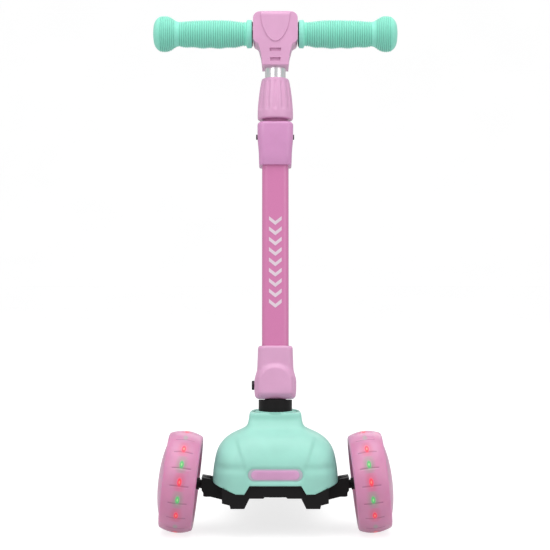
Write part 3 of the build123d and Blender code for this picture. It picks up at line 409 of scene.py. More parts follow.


# cast urethane, milky and tinted; with lights it glows at even steps round the tread, and its base colour carries
# painted glow round each light, a painted highlight at each light's centre and painted shade along a groove below
# each light
def milkyUrethane(name, place=None, upward=1):
    material, tree, bsdf = startMaterial(name)
    colour = (0.72, 0.30, 0.50)
    cloud = noiseAt(tree, 42, 3)
    base = rampBetween(tree, cloud, 0.3, 0.75, shade(colour, 0.93), shade(colour, 1.05))
    bsdf.inputs["Subsurface Weight"].default_value = 0.75
    bsdf.inputs["Subsurface Radius"].default_value = (0.02, 0.009, 0.013)
    bsdf.inputs["Subsurface Scale"].default_value = 0.8
    bsdf.inputs["Transmission Weight"].default_value = 0.12
    bsdf.inputs["IOR"].default_value = 1.49
    bsdf.inputs["Coat Weight"].default_value = 0.3
    bsdf.inputs["Coat Roughness"].default_value = 0.2
    rough = addNode(tree, "MapRange")
    rough.inputs["To Min"].default_value = 0.28
    rough.inputs["To Max"].default_value = 0.42
    tree.links.new(noiseAt(tree, 130, 4), rough.inputs["Value"])
    tree.links.new(rough.outputs[0], bsdf.inputs["Roughness"])
    bumpFrom(tree, bsdf, noiseAt(tree, 700, 2), 0.00005)
    if place is None:
        tree.links.new(base, bsdf.inputs["Base Color"])
        return material
    turned = (place @ Matrix.Scale(1 / mm, 4)).inverted()
    mapping = addNode(tree, "Mapping")
    mapping.inputs["Location"].default_value = turned.translation
    mapping.inputs["Rotation"].default_value = turned.to_euler("XYZ")
    tree.links.new(addNode(tree, "TexCoord").outputs["Object"], mapping.inputs[0])
    parts = addNode(tree, "SeparateXYZ")
    tree.links.new(mapping.outputs[0], parts.inputs[0])
    x, y, z = parts.outputs
    step = 2 * math.pi / lights["count"]
    angle = calc(tree, "SUBTRACT", calc(tree, "ARCTAN2", calc(tree, "MULTIPLY", y, upward), x),
                 math.radians(lights["turn"]))
    sector = calc(tree, "DIVIDE", angle, step)
    nearest = calc(tree, "ROUND", sector)
    arc = calc(tree, "MULTIPLY", calc(tree, "SUBTRACT", sector, nearest), step * lights["radius"])
    reach = calc(tree, "SQRT", calc(tree, "ADD", calc(tree, "MULTIPLY", x, x),
                                    calc(tree, "MULTIPLY", y, y)))
    onTread = calc(tree, "GREATER_THAN", reach, 0.052)
    along = calc(tree, "DIVIDE", arc, lights["long"])
    across = calc(tree, "DIVIDE", z, lights["wide"] * mm)
    far = calc(tree, "SQRT", calc(tree, "ADD", calc(tree, "MULTIPLY", along, along),
                                  calc(tree, "MULTIPLY", across, across)))
    odd = calc(tree, "ABSOLUTE", calc(tree, "MODULO", nearest, 2.0))
    dark = calc(tree, "COMPARE", calc(tree, "ABSOLUTE", nearest), 3.0, 0.1)
    lit = calc(tree, "MULTIPLY", onTread, calc(tree, "SUBTRACT", 1.0, dark))

    def fade(value, start, end, high):
        made = addNode(tree, "MapRange", interpolation_type="SMOOTHSTEP")
        for key, number in (("From Min", start), ("From Max", end), ("To Min", 0.0), ("To Max", high)):
            made.inputs[key].default_value = number
        tree.links.new(value, made.inputs["Value"])
        return made.outputs[0]

    def layOver(below, above, amount):
        mixed = addNode(tree, "Mix", data_type="RGBA")
        tree.links.new(amount, mixed.inputs["Factor"])
        for socket, value in ((mixed.inputs[6], below), (mixed.inputs[7], above)):
            if isinstance(value, tuple):
                socket.default_value = (*value, 1)
            else:
                tree.links.new(value, socket)
        return mixed.outputs[2]

    spot = fade(far, 1.35, 0.35, 1.0)
    # painted glow: a wider soft patch round each lit light, used only in the base colour
    paintedGlow = fade(far, 3.2, 0.7, 0.30)
    # painted highlight: a small pale centre on each lit light, laid into the base colour
    paintedHighlight = fade(far, 0.55, 0.1, 0.45)
    lamp = rampBetween(tree, odd, 0.4, 0.6, lights["red"], lights["green"])
    tree.links.new(lamp, bsdf.inputs["Emission Color"])
    tree.links.new(calc(tree, "MULTIPLY", calc(tree, "MULTIPLY", lit, spot), lights["strength"]),
                   bsdf.inputs["Emission Strength"])
    # painted shade: a darker line along the groove below each light
    low = calc(tree, "ABSOLUTE", calc(tree, "ADD", arc, lights["groove"]))
    line = calc(tree, "MULTIPLY", fade(low, 1.1, 0.3, 0.42),
                calc(tree, "LESS_THAN", calc(tree, "ABSOLUTE", z), lights["grooveHalf"] * mm))
    colour = layOver(base, (0.30, 0.09, 0.19), calc(tree, "MULTIPLY", line, onTread))
    # painted glow: the lamp's colour laid into the base colour over each lit spot and round it
    colour = layOver(colour, lamp, calc(tree, "MULTIPLY", lit, calc(tree, "MAXIMUM", spot, paintedGlow)))
    # painted highlight: the pale centre mixed over each lit light
    colour = layOver(colour, lights["paintedHighlight"], calc(tree, "MULTIPLY", lit, paintedHighlight))
    colour = layOver(colour, lights["dull"],
                     calc(tree, "MULTIPLY", calc(tree, "MULTIPLY", onTread, dark),
                          calc(tree, "MULTIPLY", spot, 0.7)))
    tree.links.new(colour, bsdf.inputs["Base Color"])
    return material


print("materials")
pinkPlastic = mouldedPlastic("pink plastic", (0.70, 0.365, 0.575), 0.36, 1500, 0.00002,
                             coat=0.12, glow=0.1)
neckPlastic = mouldedPlastic("neck plastic", (0.48, 0.17, 0.34), 0.42, 1500, 0.00002)
mintPlastic = mouldedPlastic("mint plastic", (0.335, 0.69, 0.59), 0.42, 1100, 0.00003, glow=0.12)
orchidPlastic = mouldedPlastic("orchid plastic", (0.64, 0.285, 0.535), 0.36, 1500, 0.00002,
                               coat=0.12, glow=0.1)
badgePlastic = mouldedPlastic("badge plastic", (0.68, 0.36, 0.59), 0.4, 1500, 0.00003)
blackPlastic = mouldedPlastic("black plastic", (0.007, 0.0062, 0.0066), 0.46, 900, 0.00008, gloss=0.18)
# painted shade: grey for the sheet that stands in for the shade in the badge's recess
recessShadeGrey = mouldedPlastic("painted recess shade", (0.46, 0.47, 0.53), 0.5, 1500, 0.00003)
whitePlastic = mouldedPlastic("white plastic", (0.74, 0.66, 0.71), 0.42, 1200, 0.00004)
plainNylon = mouldedPlastic("plain nylon", (0.66, 0.66, 0.64), 0.5, 1200, 0.00004)
decalInk = mouldedPlastic("decal ink", (0.74, 0.60, 0.69), 0.42, 1800, 0.00002)
mintRubber = gripRubber("mint rubber", (0.25, 0.735, 0.585), 0.56, 2400, 0.000006,
                        [(37.0, 116.5, 2.75), (121.5, 141.0, 2.25)])
gaiterRubber = gripRubber("gaiter rubber", (0.33, 0.69, 0.59), 0.55, 2400, 0.00001)
matRubber = gripRubber("mat rubber", (0.30, 0.64, 0.54), 0.66, 1500, 0.00012)
blackRubber = gripRubber("black rubber", (0.02, 0.02, 0.02), 0.62, 1500, 0.0001)
paintedStem = stemPaint()
brightAluminium = drawnMetal("bright aluminium", (0.86, 0.84, 0.87), 0.16, (40, 40, 1), 0.00001)
zincSteel = drawnMetal("zinc steel", (0.55, 0.55, 0.57), 0.28, (8, 30, 30), 0.00002)
blackSteel = drawnMetal("black steel", (0.05, 0.045, 0.05), 0.34, (20, 8, 20), 0.00002)
plainUrethane = milkyUrethane("milky urethane")

finishes = {
    "pink_plastic": pinkPlastic, "pink_paint": paintedStem, "mint_plastic": mintPlastic,
    "mint_rubber": mintRubber, "black_plastic": blackPlastic, "white_plastic": whitePlastic,
    "pink_urethane": plainUrethane, "light_ring": whitePlastic, "mat_rubber": matRubber,
    "black_rubber": blackRubber, "nylon": plainNylon, "bright_aluminium": brightAluminium,
    "steel": zincSteel, "dark_steel": blackSteel,
}
for row in frame["record"]["subparts"]:
    mesh = nodes[row["node"]].data
    mesh.materials.clear()
    mesh.materials.append(finishes[row["material_slot"]])
nodes["collet"].data.materials[0] = neckPlastic


badge = {"level": 74.0, "half": 22.5, "round": 5.5, "recessHalf": 24.5, "recessRound": 8.0,
         "shadeRound": 7.2, "ribs": 8, "ribPitch": 2.7, "ribHalf": 0.6}

bonnet = {
    "shape": [  # height, half width, ahead of the axle, behind it, squareness
        (44, 73.6, 43.5, 96.0, 3.6), (60, 73.8, 44.6, 95.0, 3.6), (72, 73.3, 45.0, 93.5, 3.6),
        (85, 71.6, 43.6, 89.0, 3.4), (98, 68.3, 39.0, 82.0, 3.2), (108, 61.4, 33.6, 76.0, 3.0),
        (114.5, 52.6, 27.5, 70.0, 2.9), (119, 43.0, 20.5, 64.0, 2.9), (122.5, 36.8, 14.5, 58.0, 3.0),
        (126.5, 33.4, 9.8, 52.5, 3.2), (132, 31.8, 7.4, 50.0, 3.4), (138, 30.9, 6.6, 49.2, 3.4),
        (142, 30.4, 6.2, 49.0, 3.4)],
    "top": 141.8, "skin": 2.6, "lip": 2.2, "opening": (26.6, 22.4), "behind": 3.8,
    "deck": 70.3, "neckCentre": 21.5,
    "shield": {"half": 47.0, "narrowing": 0.34, "rise": 2.2},       # raised front panel
    "cheek": {"x": 56.0, "z": 92.0, "wide": 13.0, "tall": 15.0, "rise": 2.6},
    "crease": {"z": 80.5, "tall": 4.5, "depth": 1.6}, "cup": 2.4,   # cup: depth of the badge's recess
    "columns": 168, "levels": 64,
}


# height of the skirt's lower edge, by distance from the middle
def skirtHeight(x):
    line = [(0, 61.3), (30, 61.3), (36, 51.2), (46, 51.2), (73, 62.2), (77, 65.4), (90, 66.9)]
    x = abs(x)
    for (x0, z0), (x1, z1) in zip(line, line[1:]):
        if x <= x1:
            return z0 + (z1 - z0) * (x - x0) / (x1 - x0)
    return line[-1][1]


def bonnetAt(z):
    rows = bonnet["shape"]
    i = max(k for k in range(len(rows) - 1) if rows[k][0] <= z or k == 0)
    a, b = rows[max(i - 1, 0)], rows[i]
    c, d = rows[i + 1], rows[min(i + 2, len(rows) - 1)]
    t = (z - b[0]) / (c[0] - b[0])
    out = []
    for k in range(1, 5):
        before = (c[k] - a[k]) / (c[0] - a[0]) * (c[0] - b[0])
        after = (d[k] - b[k]) / (d[0] - b[0]) * (c[0] - b[0])
        out.append(b[k] * (2 * t ** 3 - 3 * t * t + 1) + before * (t ** 3 - 2 * t * t + t)
                   + c[k] * (3 * t * t - 2 * t ** 3) + after * (t ** 3 - t * t))
    return out


def bonnetPoint(angle, z):
    half, ahead, behind, power = bonnetAt(z)
    cs, sn = math.cos(angle), math.sin(angle)
    length = ahead if sn < 0 else behind
    x = math.copysign(abs(cs) ** (2 / power), cs) * half
    y = math.copysign(abs(sn) ** (2 / power), sn) * length
    if sn < 0:
        facing = ease(0.05, 0.5, -sn)
        y -= frontRise(abs(x), z) * facing
        y += bonnet["cup"] * (1 - ease(-3, 2.6, pillDistance(x, z))) * ease(0.3, 0.7, -sn)
    return x, y


# how far the front stands out of the plain form: shield and cheeks out, crease in
def frontRise(x, z):
    shield, cheek, crease = bonnet["shield"], bonnet["cheek"], bonnet["crease"]
    edge = shield["half"] - (120 - z) * shield["narrowing"]        # narrower downwards
    inside = (1 - ease(edge - 1.5, edge + 3.0, x)) * ease(70, 96, z) * (1 - ease(126, 136, z))
    bulge = math.exp(-((x - cheek["x"]) / cheek["wide"]) ** 2 - ((z - cheek["z"]) / cheek["tall"]) ** 2)
    fold = math.exp(-((z - crease["z"]) / crease["tall"]) ** 2) * ease(26, 44, x)
    return shield["rise"] * inside + cheek["rise"] * bulge - crease["depth"] * fold


# distance outside the badge's recess, a lying pill
def pillDistance(x, z):
    return math.hypot(max(abs(x) - badge["recessHalf"], 0), z - badge["level"]) - badge["recessRound"]


def makeBonnet():
    keys = [x / bonnet["shape"][1][1] for x in (30.0, 33.0, 36.0, 46.0)]   # steps of the skirt's edge
    angles = {round(2 * math.pi * k / bonnet["columns"], 5) for k in range(bonnet["columns"])}
    for f in keys:
        turn = math.acos(f ** 1.8)
        angles |= {round(a, 5) for a in (2 * math.pi - turn, math.pi + turn)}
    angles = sorted(angles)
    rings = []
    for level in range(bonnet["levels"] + 1):
        t = level / bonnet["levels"]
        ring = []
        for angle in angles:
            x, y = bonnetPoint(angle, 60)
            low = skirtHeight(x) if y < 20 else bonnet["deck"]
            z = low + (bonnet["top"] - bonnet["lip"] - low) * t
            ring.append((*bonnetPoint(angle, z), z))
        rings.append(ring)
    top = bonnet["top"]
    crown = [(*bonnetPoint(angle, top), 0) for angle in angles]
    for k in range(1, 7):                      # rounded shoulder of the neck
        roll = math.radians(15 * k)
        inset, rise = bonnet["lip"] * (1 - math.cos(roll)), bonnet["lip"] * math.sin(roll)
        rings.append([pullIn(p, inset, bonnet["neckCentre"], top - bonnet["lip"] + rise)
                      for p in crown])
    a, b = bonnet["opening"]
    middle = (joints["lean_turn"]["pos_m"][1] / mm - frontAxle) + bonnet["behind"]
    for depth in (0.0, 1.2, 12.0):
        grow = 1.2 if depth == 0 else 0
        rings.append([((a + grow) * math.cos(t), middle + (b + grow) * math.sin(t), top - depth)
                      for t in angles])
    bm = skinRings(rings)
    piece = addPiece(bm, "bonnet_shell", axleFrame, "root", mintPlastic, ["bonnet"],
                     sharp=50)
    wall = piece.modifiers.new("wall", "SOLIDIFY")
    wall.thickness = bonnet["skin"] * mm
    wall.offset = -1
    return piece


def pullIn(point, inset, centreY, z):
    x, y, _ = point
    away = Vector((x, y - centreY))
    away *= (away.length - inset) / away.length
    return away.x, away.y + centreY, z


# ribbed strip, rounded at both ends, sunk into the bonnet
def makeBadge():
    level, half, size = badge["level"], badge["half"], badge["round"]
    outline = arcLine((half, level), size, -90, 90, 12) + arcLine((-half, level), size, 90, 270, 12)
    front = -bonnet["shape"][2][2]
    bm = outlineSlab(outline, front + 0.4, front + 4, bevel=0.8, segments=3)
    for k in range(-badge["ribs"], badge["ribs"] + 1):
        x, thin = k * badge["ribPitch"], badge["ribHalf"]
        rib = boxMesh((x - thin, front - 0.1, level - 3.2), (x + thin, front + 1, level + 3.2),
                      Matrix.Identity(4))
        mesh = bpy.data.meshes.new("rib")
        rib.to_mesh(mesh)
        rib.free()
        bm.from_mesh(mesh)
        bpy.data.meshes.remove(mesh)
    return addPiece(bm, "badge_strip", axleFrame, "root", badgePlastic, ["badge"],
                    weld=False)


# grey sheet in the recess, behind the strip, standing in for the shade there: painted shade
def makeRecessShade():
    front = -bonnet["shape"][2][2]
    level, half, size = badge["level"], badge["recessHalf"], badge["shadeRound"]
    outline = arcLine((half, level), size, -90, 90, 14) + arcLine((-half, level), size, 90, 270, 14)
    bm = outlineSlab(outline, front + 1.3, front + 3.4, bevel=0.6, segments=3)
    return addPiece(bm, "badge_recess_shade", axleFrame, "root", recessShadeGrey, weld=False)


gaiter = {"low": 139.0, "high": 142.4, "hug": 20.05, "folds": 2, "wave": 0.5, "steps": 72,
          "wall": 1.2, "rake": 6.0}


# soft ring between the neck's opening and the leaning column
def makeGaiter():
    pivot = joints["fold_turn"]["pos_m"]
    a, b = bonnet["opening"]
    opening = joints["lean_turn"]["pos_m"][1] / mm + bonnet["behind"]
    rake = math.tan(math.radians(gaiter["rake"]))
    column = pivot[1] / mm - (pivot[2] / mm - gaiter["high"]) * rake
    rings = []
    for k in range(13):
        t = k / 12
        rise = gaiter["low"] + (gaiter["high"] - gaiter["low"]) * math.sin(t * math.pi / 2)
        ring = []
        for step in range(gaiter["steps"]):
            turn = 2 * math.pi * step / gaiter["steps"]
            low = Vector((a * math.cos(turn), opening + b * math.sin(turn)))
            high = Vector((gaiter["hug"] * math.cos(turn), column + gaiter["hug"] * math.sin(turn)))
            spot = low.lerp(high, t)
            fold = gaiter["wave"] * math.sin(t * gaiter["folds"] * 2 * math.pi)
            ring.append((spot.x, spot.y, rise + fold))
        rings.append(ring)
    bm = skinRings(rings)
    bmesh.ops.recalc_face_normals(bm, faces=bm.faces)
    bmesh.ops.solidify(bm, geom=bm.faces, thickness=gaiter["wall"])
    piece = addPiece(bm, "neck_gaiter", worldFrame, None, gaiterRubber, sharp=60)
    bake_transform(piece)


print("bonnet and badge")
makeBonnet()
makeGaiter()
makeBadge()
# painted shade: grey sheet in the badge's recess
makeRecessShade()


grip = {
    "start": 28.6, "bar": 11.1, "axis": 427.0,
    "outline": [(28.6, 16.9), (31.6, 17.2), (34.2, 17.0), (35.4, 14.6), (37, 14.2), (44, 14.8),
                (58, 16.4), (78, 16.6), (98, 16.0), (112, 15.0), (118, 14.9), (122, 16.4), (126, 19.2),
                (131, 21.2), (136.5, 21.5), (141.5, 20.2), (145.4, 16.6), (147.8, 11.0), (149.0, 0.0)],
    "bodyRibs": (37.0, 116.5, 2.75, 1.25), "endRibs": (121.5, 141.0, 2.25, 0.95),
    "fingers": (38, 120, 20.5, 1.1), "around": 72,       # first, last, pitch and height, as the ribs
}


def ribWave(x, first, last, pitch, height):
    if not first < x < last:
        return 0.0
    phase = (x - first) / pitch % 1
    return height * (ease(0.0, 0.22, phase) - ease(0.5, 0.72, phase)) - height * 0.5


def gripRadius(x):
    rows = grip["outline"]
    for (x0, r0), (x1, r1) in zip(rows, rows[1:]):
        if x <= x1:
            t = (x - x0) / (x1 - x0)
            return r0 + (r1 - r0) * t
    return 0.0


def makeGrip(word, side):
    line = smoothLine(grip["outline"], 40)
    profile = [(grip["bar"], grip["start"])]
    lastX = 0
    for x, r in line:
        if x - lastX < 0.34 and x < 146:
            continue
        lastX = x
        profile.append((r + ribWave(x, *grip["bodyRibs"]) + ribWave(x, *grip["endRibs"]), x))
    bm = spinProfile(profile, grip["around"])
    start, last, pitch, rise = grip["fingers"]
    for v in bm.verts:                       # four shallow finger bumps underneath
        down = max(-v.co.x, 0) / max(math.hypot(v.co.x, v.co.y), 0.01)
        if start < v.co.z < last:
            wave = 0.5 - 0.5 * math.cos((v.co.z - start) / pitch * 2 * math.pi)
            fade = ease(start, start + 6, v.co.z) * (1 - ease(last - 8, last, v.co.z))
            v.co.x -= rise * wave * down ** 2 * fade
    turn = Matrix(((0, 0, side, 0), (0, 1, 0, 0), (1, 0, 0, grip["axis"]), (0, 0, 0, 1)))
    return addPiece(bm, "grip_sleeve_" + word, stemFrame @ turn, "bar", mintRubber,
                    ["grip_" + word], sharp=60)


print("grips")
makeGrip("left", -1)
makeGrip("right", 1)


head = {"top": 450.5, "bottom": 385.0, "half": 27.0, "foot": 16.0, "depth": 20.0, "corner": 8.0,
        "edge": 5.0, "vents": ((403.6, 14.2), (391.9, 12.8)),
        "band": 17.6, "bandRise": 1.3, "bandFoot": 414.0}


def makeHead():
    top, half, foot, bottom = head["top"], head["half"], head["foot"], head["bottom"]
    corner = head["corner"]
    flank = smoothLine([(half, 419.5), (half - 0.7, 415.8), (24.6, 413.3), (21.7, 411.6),
                        (20.1, 409.0), (19.0, 404.6), (17.6, 399.5), (16.8, 394),
                        (foot + 0.2, 389), (foot, bottom)], 4)
    right = arcLine((half - corner, top - corner), corner, 90, 0, 8) + flank
    outline = right + [(-x, z) for x, z in reversed(right)]
    bm = outlineSlab(outline, -head["depth"], head["depth"], bevel=head["edge"], segments=6)
    piece = addPiece(bm, "head_casing", stemFrame, "bar", pinkPlastic,
                     ["head_front_shell", "head_rear_shell"], sharp=50)
    level = grip["axis"]
    cutters = [rodMesh(11.2, (-60, 0, level), (60, 0, level), stemFrame),   # crossbar, then inner tube
               rodMesh(12.6, (0, 0, 300), (0, 0, 420), stemFrame)]
    for level, wide in head["vents"]:
        wide, tall = wide / 2, 2.15
        slot = outlineSlab([(-wide + 0.7, level - tall), (wide - 0.7, level - tall),
                            (wide, level + tall), (-wide, level + tall)], -30, -head["depth"] + 2.6)
        bmesh.ops.transform(slot, matrix=stemFrame, verts=slot.verts)
        cutters.append(slot)
    for x, z in ((20.5, 446.5), (-20.5, 446.5), (15.7, 411.4), (-15.7, 411.4)):   # screws behind
        cutters.append(rodMesh(3.5, (x, head["depth"] - 3, z), (x, 40, z), stemFrame, 24))
    cutWith(piece, cutters)
    return piece


# raised tongue over the top of the head, round at its lower end
def makeBand():
    top, rise, depth, edge = head["top"], head["bandRise"], head["depth"], head["edge"]
    reach = top - head["bandFoot"]
    front = [top - reach * math.cos(math.radians(a)) for a in range(0, 80, 4)]
    path = [(-depth, z) for z in front if z < top - edge - 0.5] + [(-depth, top - edge - 0.3)]
    rows = len(path)
    path += [(y, z) for y, z in arcLine((-depth + edge, top - edge), edge, 180, 90, 8)]
    path += [(y, top) for y in (-12, -8, -4, 0, 4, 8, 12)]
    path += [(y, z) for y, z in arcLine((depth - edge, top - edge), edge, 90, 0, 8)]
    path += [(depth, top - edge - k * 1.6) for k in range(1, 8)]
    bm = bmesh.new()
    bmesh.ops.create_grid(bm, x_segments=16, y_segments=len(path) - 1, size=1)
    for v in bm.verts:
        u, row = v.co.x, round((v.co.y + 1) / 2 * (len(path) - 1))
        y, z = path[row]
        drop = (top - z) / reach if row < rows else 0
        wide = head["band"] * max(1 - drop ** 2, 0.0001) ** 0.55
        v.co = (u * wide, y, z)
    bmesh.ops.remove_doubles(bm, verts=bm.verts, dist=0.05)
    bmesh.ops.recalc_face_normals(bm, faces=bm.faces)
    outward = [f for f in bm.faces if f.calc_center_median().y < -depth + 1]
    if outward and outward[0].normal.y > 0:
        bmesh.ops.reverse_faces(bm, faces=bm.faces)
    mesh = bpy.data.meshes.new("head_band")
    bmesh.ops.transform(bm, matrix=stemFrame, verts=bm.verts)
    bm.to_mesh(mesh)
    bm.free()
    piece = bpy.data.objects.new("head_band", mesh)
    bpy.context.scene.collection.objects.link(piece)
    mesh.materials.append(pinkPlastic)
    for face in mesh.polygons:
        face.use_smooth = True
    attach(piece, "bar")
    wall = piece.modifiers.new("wall", "SOLIDIFY")
    wall.thickness = rise * mm
    wall.offset = 1
    return softenEdges(piece, 0.5, 3, 50)


print("head")
makeHead()
makeBand()


knob = {"bottom": 321.0, "top": 371.0, "flutes": 14, "depth": 1.1, "rim": 8.0}


def makeKnob():
    b, t = knob["bottom"], knob["top"]
    outer = smoothLine([(21.4, b + 2), (21.5, b + 8), (20.9, b + 18), (19.7, b + 30), (18.3, b + 40),
                        (16.7, t - 1.8)], 8)
    profile = [(15.2, b), (20.4, b), (21.1, b + 0.7)] + outer
    profile += [(16.2, t - 0.6), (15.2, t), (12.9, t), (12.9, t - 4)]
    bm = spinProfile(profile, knob["flutes"] * 12)
    for v in bm.verts:
        r = math.hypot(v.co.x, v.co.y)
        tall = ease(b + knob["rim"], b + knob["rim"] + 6, v.co.z) * (1 - ease(t - 7, t - 2, v.co.z))
        if r > 16 and tall > 0:
            wave = 0.5 - 0.5 * math.cos(math.atan2(v.co.y, v.co.x) * knob["flutes"])
            cut = knob["depth"] * tall * ease(0.35, 0.95, wave)
            v.co.x *= (r - cut) / r
            v.co.y *= (r - cut) / r
    return addPiece(bm, "knob_shell", stemFrame, "knob", pinkPlastic, ["lock_knob"],
                    sharp=50)


collar = {"bottom": 264.0, "top": 316.6, "bolt": 303.0}


def makeCollar():
    b, t = collar["bottom"], collar["top"]
    rows = [(b, 19.0, 8), (b + 0.8, 19.5, 8), (b + 14, 19.9, 8.2), (b + 24, 20.6, 8.6),
            (b + 31, 21.3, 9), (b + 36, 21.5, 9), (t - 4.0, 21.5, 9), (t - 2.6, 21.2, 9),
            (t - 1.2, 20.4, 8.8), (t - 0.3, 19.2, 8.4), (t, 17.6, 8)]      # level, half width, corner
    rows = [(b + 18, 16.0, 7), (b, 16.0, 7), (b, 18.2, 7.8)] + rows
    rings = [[(x, y, z) for x, y in roundedLoop(h, h, r, 10, 6)] for z, h, r in rows]
    rings.append([(x, y, t) for x, y in roundedLoop(15.2, 15.2, 15.19, 10, 6)])
    rings.append([(x, y, t - 20) for x, y in roundedLoop(15.2, 15.2, 15.19, 10, 6)])
    bm = skinRings(rings)
    piece = addPiece(bm, "collar_shell", stemFrame, "stem", orchidPlastic,
                     ["upper_collar"], sharp=45)
    level, y = collar["bolt"], 17.5
    cutWith(piece, [rodMesh(3.4, (side * 20.6, y, level), (side * 40, y, level), stemFrame)
                    for side in (-1, 1)])
    return piece


block = {
    "bulge": 4.2,
    "shape": [  # level, half width, front, back, corner
        (-16.3, 20.2, 13.5, 6.0, 5.5), (-15.7, 21.8, 15.2, 8.0, 6.5), (-13.6, 23.8, 17.4, 10.8, 7.4),
        (-10.0, 24.6, 18.7, 13.5, 8.0), (-5.0, 25.0, 19.0, 15.8, 8.5), (0.0, 25.0, 19.0, 16.3, 9.0),
        (6.0, 24.9, 19.0, 16.3, 9.0), (12.0, 23.5, 19.0, 16.3, 9.0), (17.0, 22.1, 19.0, 16.3, 8.6),
        (22.0, 21.5, 19.0, 16.8, 8.2), (28.0, 21.3, 19.0, 20.4, 8.0), (34.0, 21.0, 19.0, 21.0, 8.0),
        (43.2, 20.7, 19.0, 21.0, 8.0), (45.2, 20.1, 18.6, 20.6, 7.8), (46.5, 19.1, 17.6, 19.6, 7.4),
        (47.0, 17.6, 16.5, 18.4, 7.0)],
}


def makeBlock():
    rings = []
    for z, half, front, back, corner in smoothLine(block["shape"], 4):
        loop = roundedLoop(half, (front + back) / 2, corner, 9, 14)
        ring = []
        for x, y in loop:
            y += (back - front) / 2
            if y < -front + corner * 0.9:
                out = math.hypot(x, max(z - 1.0, 0)) - 19.0      # beyond the round boss in front
                facing = ease(half, half - 7, abs(x)) if z < 8 else 1
                y -= block["bulge"] * min(max((6.0 - out) / 5.0, 0), 1) * facing * ease(-16.5, -8, z)
            ring.append((x, y, z))
        rings.append(ring)
    bm = skinRings(rings, capped=True)
    piece = addPiece(bm, "fold_block_shell", stemFrame, "stem", pinkPlastic,
                     ["fold_block"], sharp=40)
    cutWith(piece, [
        boxMesh((-12.8, -13.2, -30), (12.8, 40, 13.5), stemFrame),    # between the cheeks
        boxMesh((-4.6, 2, 28.2), (4.6, 40, 40), stemFrame),           # for the latch
        boxMesh((-16.0, -16.0, 29), (16.0, 16.0, 60), stemFrame),     # for the stem tube
        rodMesh(9.4, (20.2, 0, 0), (40, 0, 0), stemFrame)])           # for the pivot bolt's head
    return piece


print("knob, collar and fold block")
makeKnob()
makeCollar()
makeBlock()


decal = {"low": 92.0, "pitch": 12.4, "count": 9, "half": 7.6, "rise": 6.0, "stroke": 4.6,
         "front": 16.0}


# a column of plain chevrons on the flat front of the stem
def makeDecal():
    bm = bmesh.new()
    y = -decal["front"] - 0.16
    for k in range(decal["count"]):
        z = decal["low"] + k * decal["pitch"]
        half, rise, stroke = decal["half"], decal["rise"], decal["stroke"]
        outline = [(0, z), (half, z + rise), (half, z + rise + stroke), (0, z + stroke),
                   (-half, z + rise + stroke), (-half, z + rise)]
        verts = [bm.verts.new((x, y, h)) for x, h in outline]
        grown = bmesh.ops.extrude_face_region(bm, geom=[bm.faces.new(verts)])["geom"]
        bmesh.ops.translate(bm, vec=(0, 0.14, 0), verts=vertsOf(grown))
    return addPiece(bm, "stem_decal", stemFrame, "stem", decalInk, weld=False)


makeDecal()


wheel = {"radius": 60.0, "half": 19.25, "wider": 1.4, "crown": 40.0, "dome": 6.5, "bore": 40.0,
         "steps": 432}


def makeTyre(word):
    r, half, crown = wheel["radius"], wheel["half"], wheel["crown"]
    reach = math.degrees(math.asin((half - 1.6) / crown))
    tread = [(x, z) for x, z in arcLine((r - crown, 0), crown, -reach, reach, 28)]
    edge = tread[-1][0]
    shoulder = [(edge - 0.7, half - 0.8), (edge - 2.2, half - 0.15), (edge - 4, half)]
    side = [(49.5, half), (48.2, half - 0.4), (47.4, half - 1.4), (47.0, half - 3)]
    inner = [(edge - 6, -half), (49, -half + 0.2), (46, -half + 1.4), (43.5, -half + 4.2),
             (41.5, -half + 5.4), (wheel["bore"], -half + 5.8)]
    lower = [(x, -z) for x, z in shoulder]
    profile = [(wheel["bore"], half - 3)] + side[::-1] + shoulder[::-1] + tread[::-1] + lower + inner
    bm = spinProfile(profile, wheel["steps"], closed=True)
    up = 1 if word == "left" else -1
    step = 2 * math.pi / lights["count"]
    for v in bm.verts:                       # a short groove across the tread below each light
        v.co.z += wheel["wider"] * ease(0, half, v.co.z)
        away = math.hypot(v.co.x, v.co.y)
        if away > 54:
            angle = math.atan2(v.co.y, v.co.x) * up - math.radians(lights["turn"])
            arc = (angle / step - round(angle / step)) * step * wheel["radius"] + lights["groove"]
            dip = 0.6 * (1 - ease(0.3, 1.4, abs(arc))) * (1 - ease(9.5, 12, abs(v.co.z)))
            v.co.x *= (away - dip) / away
            v.co.y *= (away - dip) / away
    cast = milkyUrethane("lit urethane " + word, wheelFrame(word), up)
    return addPiece(bm, "tyre_cast_" + word, wheelFrame(word), word + "_wheel", cast,
                    ["tyre_" + word], sharp=50)


def makeCap(word):
    half = wheel["half"] + wheel["wider"]
    outer = smoothLine([(0.0, half + wheel["dome"]), (14, half + 6.1), (27, half + 4.6),
                        (37, half + 2.5), (43, half + 0.6), (45.6, half - 1.2), (46.6, half - 2.8)], 6)
    inner = [(41, half - 3.4), (36, half - 3.2), (18, half - 0.5), (9.5, half + 2.2), (0, half + 2.6)]
    bm = spinProfile(outer + inner, 128)
    return addPiece(bm, "hub_dome_" + word, wheelFrame(word), word + "_wheel",
                    plainUrethane, ["hub_cap_" + word], sharp=50)


print("front wheels")
for word in ("left", "right"):
    makeTyre(word)
    makeCap(word)


# a copy of a CAD node with its sharp edges broken
def softCopy(node, body, material, width):
    bm = bmesh.new()
    bm.from_mesh(nodes[node].data)
    bmesh.ops.remove_doubles(bm, verts=bm.verts, dist=0.00001)
    bmesh.ops.dissolve_limit(bm, angle_limit=math.radians(1.0), verts=bm.verts, edges=bm.edges)
    piece = addPiece(bm, node + "_body", Matrix.Identity(4), body, material, [node], sharp=30,
                     weld=False)
    return softenEdges(piece, width, 2, 30)


